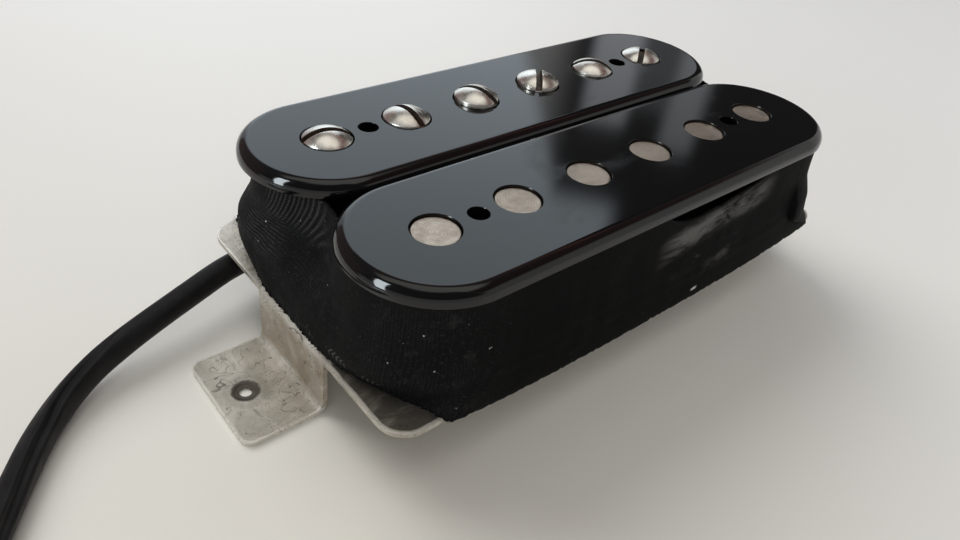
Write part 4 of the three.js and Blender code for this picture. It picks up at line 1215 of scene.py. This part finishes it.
def fibreTree():
    tree, source = grower("hem_fibres", Length="Float", Radius="Float", Bend="Float", Share="Float",
                          Stray="Float", Seed="Int")
    half = times(source["Length"], 0.5)
    lift = times(source["Bend"], 0.6)
    middle = node(tree, "ShaderNodeCombineXYZ", {"X": half, "Y": source["Bend"], "Z": lift})
    end = node(tree, "ShaderNodeCombineXYZ", {"X": source["Length"]})
    hair = node(tree, "GeometryNodeCurveQuadraticBezier", {
        "Resolution": 4, "Start": (0, 0, 0), "Middle": middle.outputs[0], "End": end.outputs[0],
    })
    section = node(tree, "GeometryNodeCurvePrimitiveCircle", {"Resolution": 3, "Radius": source["Radius"]})
    tube = node(tree, "GeometryNodeCurveToMesh", {
        "Curve": hair.outputs[0], "Profile Curve": section.outputs["Curve"], "Fill Caps": True,
    })
    away = node(tree, "GeometryNodeInputNamedAttribute", {"Name": "away"}, data_type="FLOAT_VECTOR")
    stray = node(tree, "FunctionNodeRandomValue", {"Seed": source["Seed"]}, data_type="FLOAT_VECTOR")
    stray.inputs["Min"].default_value = (-1, -1, -0.3)
    stray.inputs["Max"].default_value = (1, 1, 1)
    strayed = node(tree, "ShaderNodeVectorMath", {0: stray.outputs["Value"]}, operation="SCALE")
    tree.links.new(source["Stray"], strayed.inputs["Scale"])
    ways = {0: away.outputs["Attribute"], 1: strayed.outputs[0]}
    heading = node(tree, "ShaderNodeVectorMath", ways, operation="ADD")
    aimed = node(tree, "FunctionNodeAlignRotationToVector", {"Vector": heading.outputs[0]}, axis="X")
    chosen = node(tree, "FunctionNodeRandomValue", {"Seed": source["Seed"]}, data_type="BOOLEAN")
    tree.links.new(source["Share"], chosen.inputs["Probability"])
    size = node(tree, "FunctionNodeRandomValue", {"Seed": source["Seed"]}, data_type="FLOAT")
    size.inputs[2].default_value, size.inputs[3].default_value = 0.35, 1.5
    hairs = node(tree, "GeometryNodeInstanceOnPoints", {
        "Points": source["Geometry"], "Instance": tube.outputs[0], "Rotation": aimed.outputs[0],
        "Selection": next(o for o in chosen.outputs if o.type == "BOOLEAN"),
        "Scale": next(o for o in size.outputs if o.type == "VALUE" and o.enabled),
    })
    return grown(tree, hairs.outputs[0], source)


def fibreStuff(name, colour, shade):
    material, shader, place = finish(name)
    mottled = ranged(speckle(place, 900, 2), 0.35, 0.65)
    dress(shader, blended(mottled, colour, shade), 0.5, Specular_IOR_Level=0.3)
    return material


def makeFibres(name, tree, places, ways, length, share, material):
    f = fibre
    piece = meshPiece(name, places, [])
    away = piece.data.attributes.new("away", "FLOAT_VECTOR", "POINT")
    away.data.foreach_set("vector", np.array(ways, np.float32).ravel())
    growing(piece, tree, {
        "Length": length * mm, "Radius": f["radius"] * mm, "Bend": f["bend"] * mm * length / f["length"],
        "Share": share, "Stray": f["stray"], "Seed": f["seed"], "Material": material,
    })
    return piece


cloth = clothTape()
tapePiece, tapeLength, tapeRows = makeTape()
placed(tapePiece, "pickup", cloth, "cloth_tape", "coil_tape")
edge = np.array(tapeRows[-1])
wayOut = outwards(edge[:, :2])
finer = np.linspace(0, len(edge) - 1, 2 * len(edge))
whole = np.arange(len(edge))
edge = np.stack([np.interp(finer, whole, edge[:, k]) for k in range(3)], axis=1)
wayOut = np.stack([np.interp(finer, whole, wayOut[:, k]) for k in range(2)], axis=1)
frayed = edge[:, 0] < fibre["reach"]
edge, wayOut = edge[frayed], wayOut[frayed]
edge[:, :2] -= wayOut * fibre["rooted"]
edge[:, 2] += fibre["raised"]
ways = [(x, y, fibre["outward"]) for x, y in wayOut]
hairs = fibreTree()
blackFibre = fibreStuff("black_fibre", (0.010, 0.010, 0.011), (0.03, 0.03, 0.032))
paleFibre = fibreStuff("pale_fibre", (0.45, 0.44, 0.42), (0.2, 0.19, 0.18))
fibres = makeFibres("hem_fibres", hairs, edge, ways, fibre["length"], fibre["share"], blackFibre)
paleFibres = makeFibres("pale_fibres", hairs, *zip(*fibre["long"]), fibre["longLength"], 1.0, paleFibre)
for piece in (fibres, paleFibres):
    placed(piece, "pickup", None, "cloth_tape")
print(f"tape wound, {tapeLength:.1f} mm round")


# jacket and bare wires

def jacketRubber():
    material, shader, place = finish("lead_jacket")
    mottled = ranged(speckle(place, 420, 4, 0.6), 0.35, 0.7)
    colour = blended(mottled, (0.0045, 0.0043, 0.0048), (0.0085, 0.0080, 0.0088))
    rough = ranged(speckle(place, 900, 4, 0.6), 0.3, 0.75, 0.46, 0.6)
    dress(shader, colour, rough, speckle(place, 1800, 4, 0.65), 0.00005, 0.6, Specular_IOR_Level=0.3)
    return material


def wirePlastic(name, colour):
    material, shader, place = finish(name)
    shade = tuple(c * 0.8 for c in colour)
    dress(shader, blended(speckle(place, 500, 2), colour, shade), 0.34, speckle(place, 900, 2), 0.00002, 0.2)
    return material


def plainMetal(name, colour, dark, roughness, scale=600, bump=0.4):
    material, shader, place = finish(name, 1.0)
    spots = ranged(speckle(place, scale, 5, 0.65), 0.4, 0.72)
    rough = ranged(speckle(place, scale * 2, 3), 0.3, 0.7, roughness, roughness + 0.15)
    dress(shader, blended(spots, colour, dark), rough, speckle(place, scale * 3, 3, 0.6), 0.00003, bump)
    return material


def windingCopper():
    # fine enamelled wire in close turns, one above the other
    material, shader, place = finish("winding", 0.7)
    bands = {"Vector": place, "Scale": 900, "Distortion": 1.5, "Detail": 1}
    turns = node(shader.id_data, "ShaderNodeTexWave", bands, bands_direction="Z").outputs["Fac"]
    dress(shader, blended(turns, (0.16, 0.05, 0.022), (0.42, 0.17, 0.07)), 0.32, turns, 0.00005, 0.7)
    return material


def mattePlastic(name, colour, roughness, scale=300):
    material, shader, place = finish(name)
    shade = tuple(c * 0.72 for c in colour)
    mottled = ranged(speckle(place, scale, 4, 0.6), 0.35, 0.7)
    dress(shader, blended(mottled, colour, shade), roughness, speckle(place, scale * 6, 3), 0.00002, 0.4)
    return material


rubber = jacketRubber()
placed(jacket, "pickup", rubber, "jacket", "cable", "cable_coil")
wireFinishes = {
    "red": wirePlastic("wire_red", (0.42, 0.018, 0.014)),
    "white": wirePlastic("wire_white", (0.74, 0.72, 0.66)),
    "green": wirePlastic("wire_green", (0.018, 0.15, 0.045)),
    "black": wirePlastic("wire_black", (0.012, 0.012, 0.012)),
}
tinned = plainMetal("tinned_wire", (0.72, 0.71, 0.69), (0.56, 0.55, 0.53), 0.24)
soldered = plainMetal("solder", (0.66, 0.66, 0.65), (0.5, 0.5, 0.5), 0.2, 350, 0.8)
mild = plainMetal("mild_steel", (0.46, 0.45, 0.44), (0.3, 0.28, 0.26), 0.36)
alnico = plainMetal("magnet", (0.25, 0.24, 0.235), (0.15, 0.14, 0.13), 0.5, 900, 1.0)
copper = windingCopper()
spacerStuff = mattePlastic("spacer_plastic", (0.46, 0.33, 0.2), 0.5)
# painted shade: the coil wraps are plain black, standing for the dark gap where the coils show under the tape
coilGapShade = mattePlastic("wrap_tape", (0.012, 0.012, 0.012), 0.45)
bareTip = 3.2


def smoothWire(name, material, slotName, swell, bare=None):
    # a copy of a faceted wire rounded off, with its tip bare of colour at the far end
    source = frame["nodes"][name]
    piece = bpy.data.objects.new(name + "_fine", source.data.copy())
    bpy.context.scene.collection.objects.link(piece)
    piece.data.transform(source.matrix_world)
    mesh = bmesh.new()
    mesh.from_mesh(piece.data)
    bmesh.ops.remove_doubles(mesh, verts=mesh.verts, dist=1e-6)
    bmesh.ops.join_triangles(mesh, faces=mesh.faces, angle_face_threshold=math.radians(25),
                             angle_shape_threshold=math.radians(60))
    mesh.normal_update()
    for point in mesh.verts:
        point.co += point.normal * swell * mm
    mesh.to_mesh(piece.data)
    mesh.free()
    piece.data.materials.clear()
    for stuff in (material, *(bare or ())):
        piece.data.materials.append(stuff)
    rounder = piece.modifiers.new("round", "SUBSURF")
    rounder.levels = rounder.render_levels = 2
    settled(piece)
    for face in piece.data.polygons:
        face.use_smooth = True
    if bare:
        tip = max((p.co.copy() for p in piece.data.vertices), key=lambda p: (p - coilExit * mm).length)
        for face in piece.data.polygons:
            if (face.center - tip).length < bareTip * mm:
                face.material_index = 1
    return placed(piece, "pickup", None, slotName, name)


cadFinishes = {
    "keeper_bar": mild, "bar_magnet": alnico, "spacer_bar": spacerStuff, "shield_solder": soldered,
    "screw_coil": copper, "slug_coil": copper, "screw_coil_wrap": coilGapShade, "slug_coil_wrap": coilGapShade,
}
for i in range(1, 5):
    cadFinishes[f"bobbin_screw_{i}"] = mild
for colour, stuff in wireFinishes.items():
    cadFinishes[f"splice_sleeve_{colour}"] = stuff
for kind in ("screw", "slug"):
    for i in (1, 2):
        cadFinishes[f"{kind}_coil_lead_{i}"] = wireFinishes["black"]
for name, material in cadFinishes.items():
    piece = frame["nodes"][name]
    piece.data.materials.clear()
    piece.data.materials.append(material)
farWires = [smoothWire("lead_shield", tinned, "tinned_wire", 0.02)]
smoothWire("inner_shield_wire", tinned, "tinned_wire", 0.02)
for colour, stuff in wireFinishes.items():
    smoothWire(f"inner_wire_{colour}", stuff, f"wire_{colour}", 0.04)
    farWires.append(smoothWire(f"lead_{colour}", stuff, f"wire_{colour}", 0.04, [tinned]))
print("wires finished")
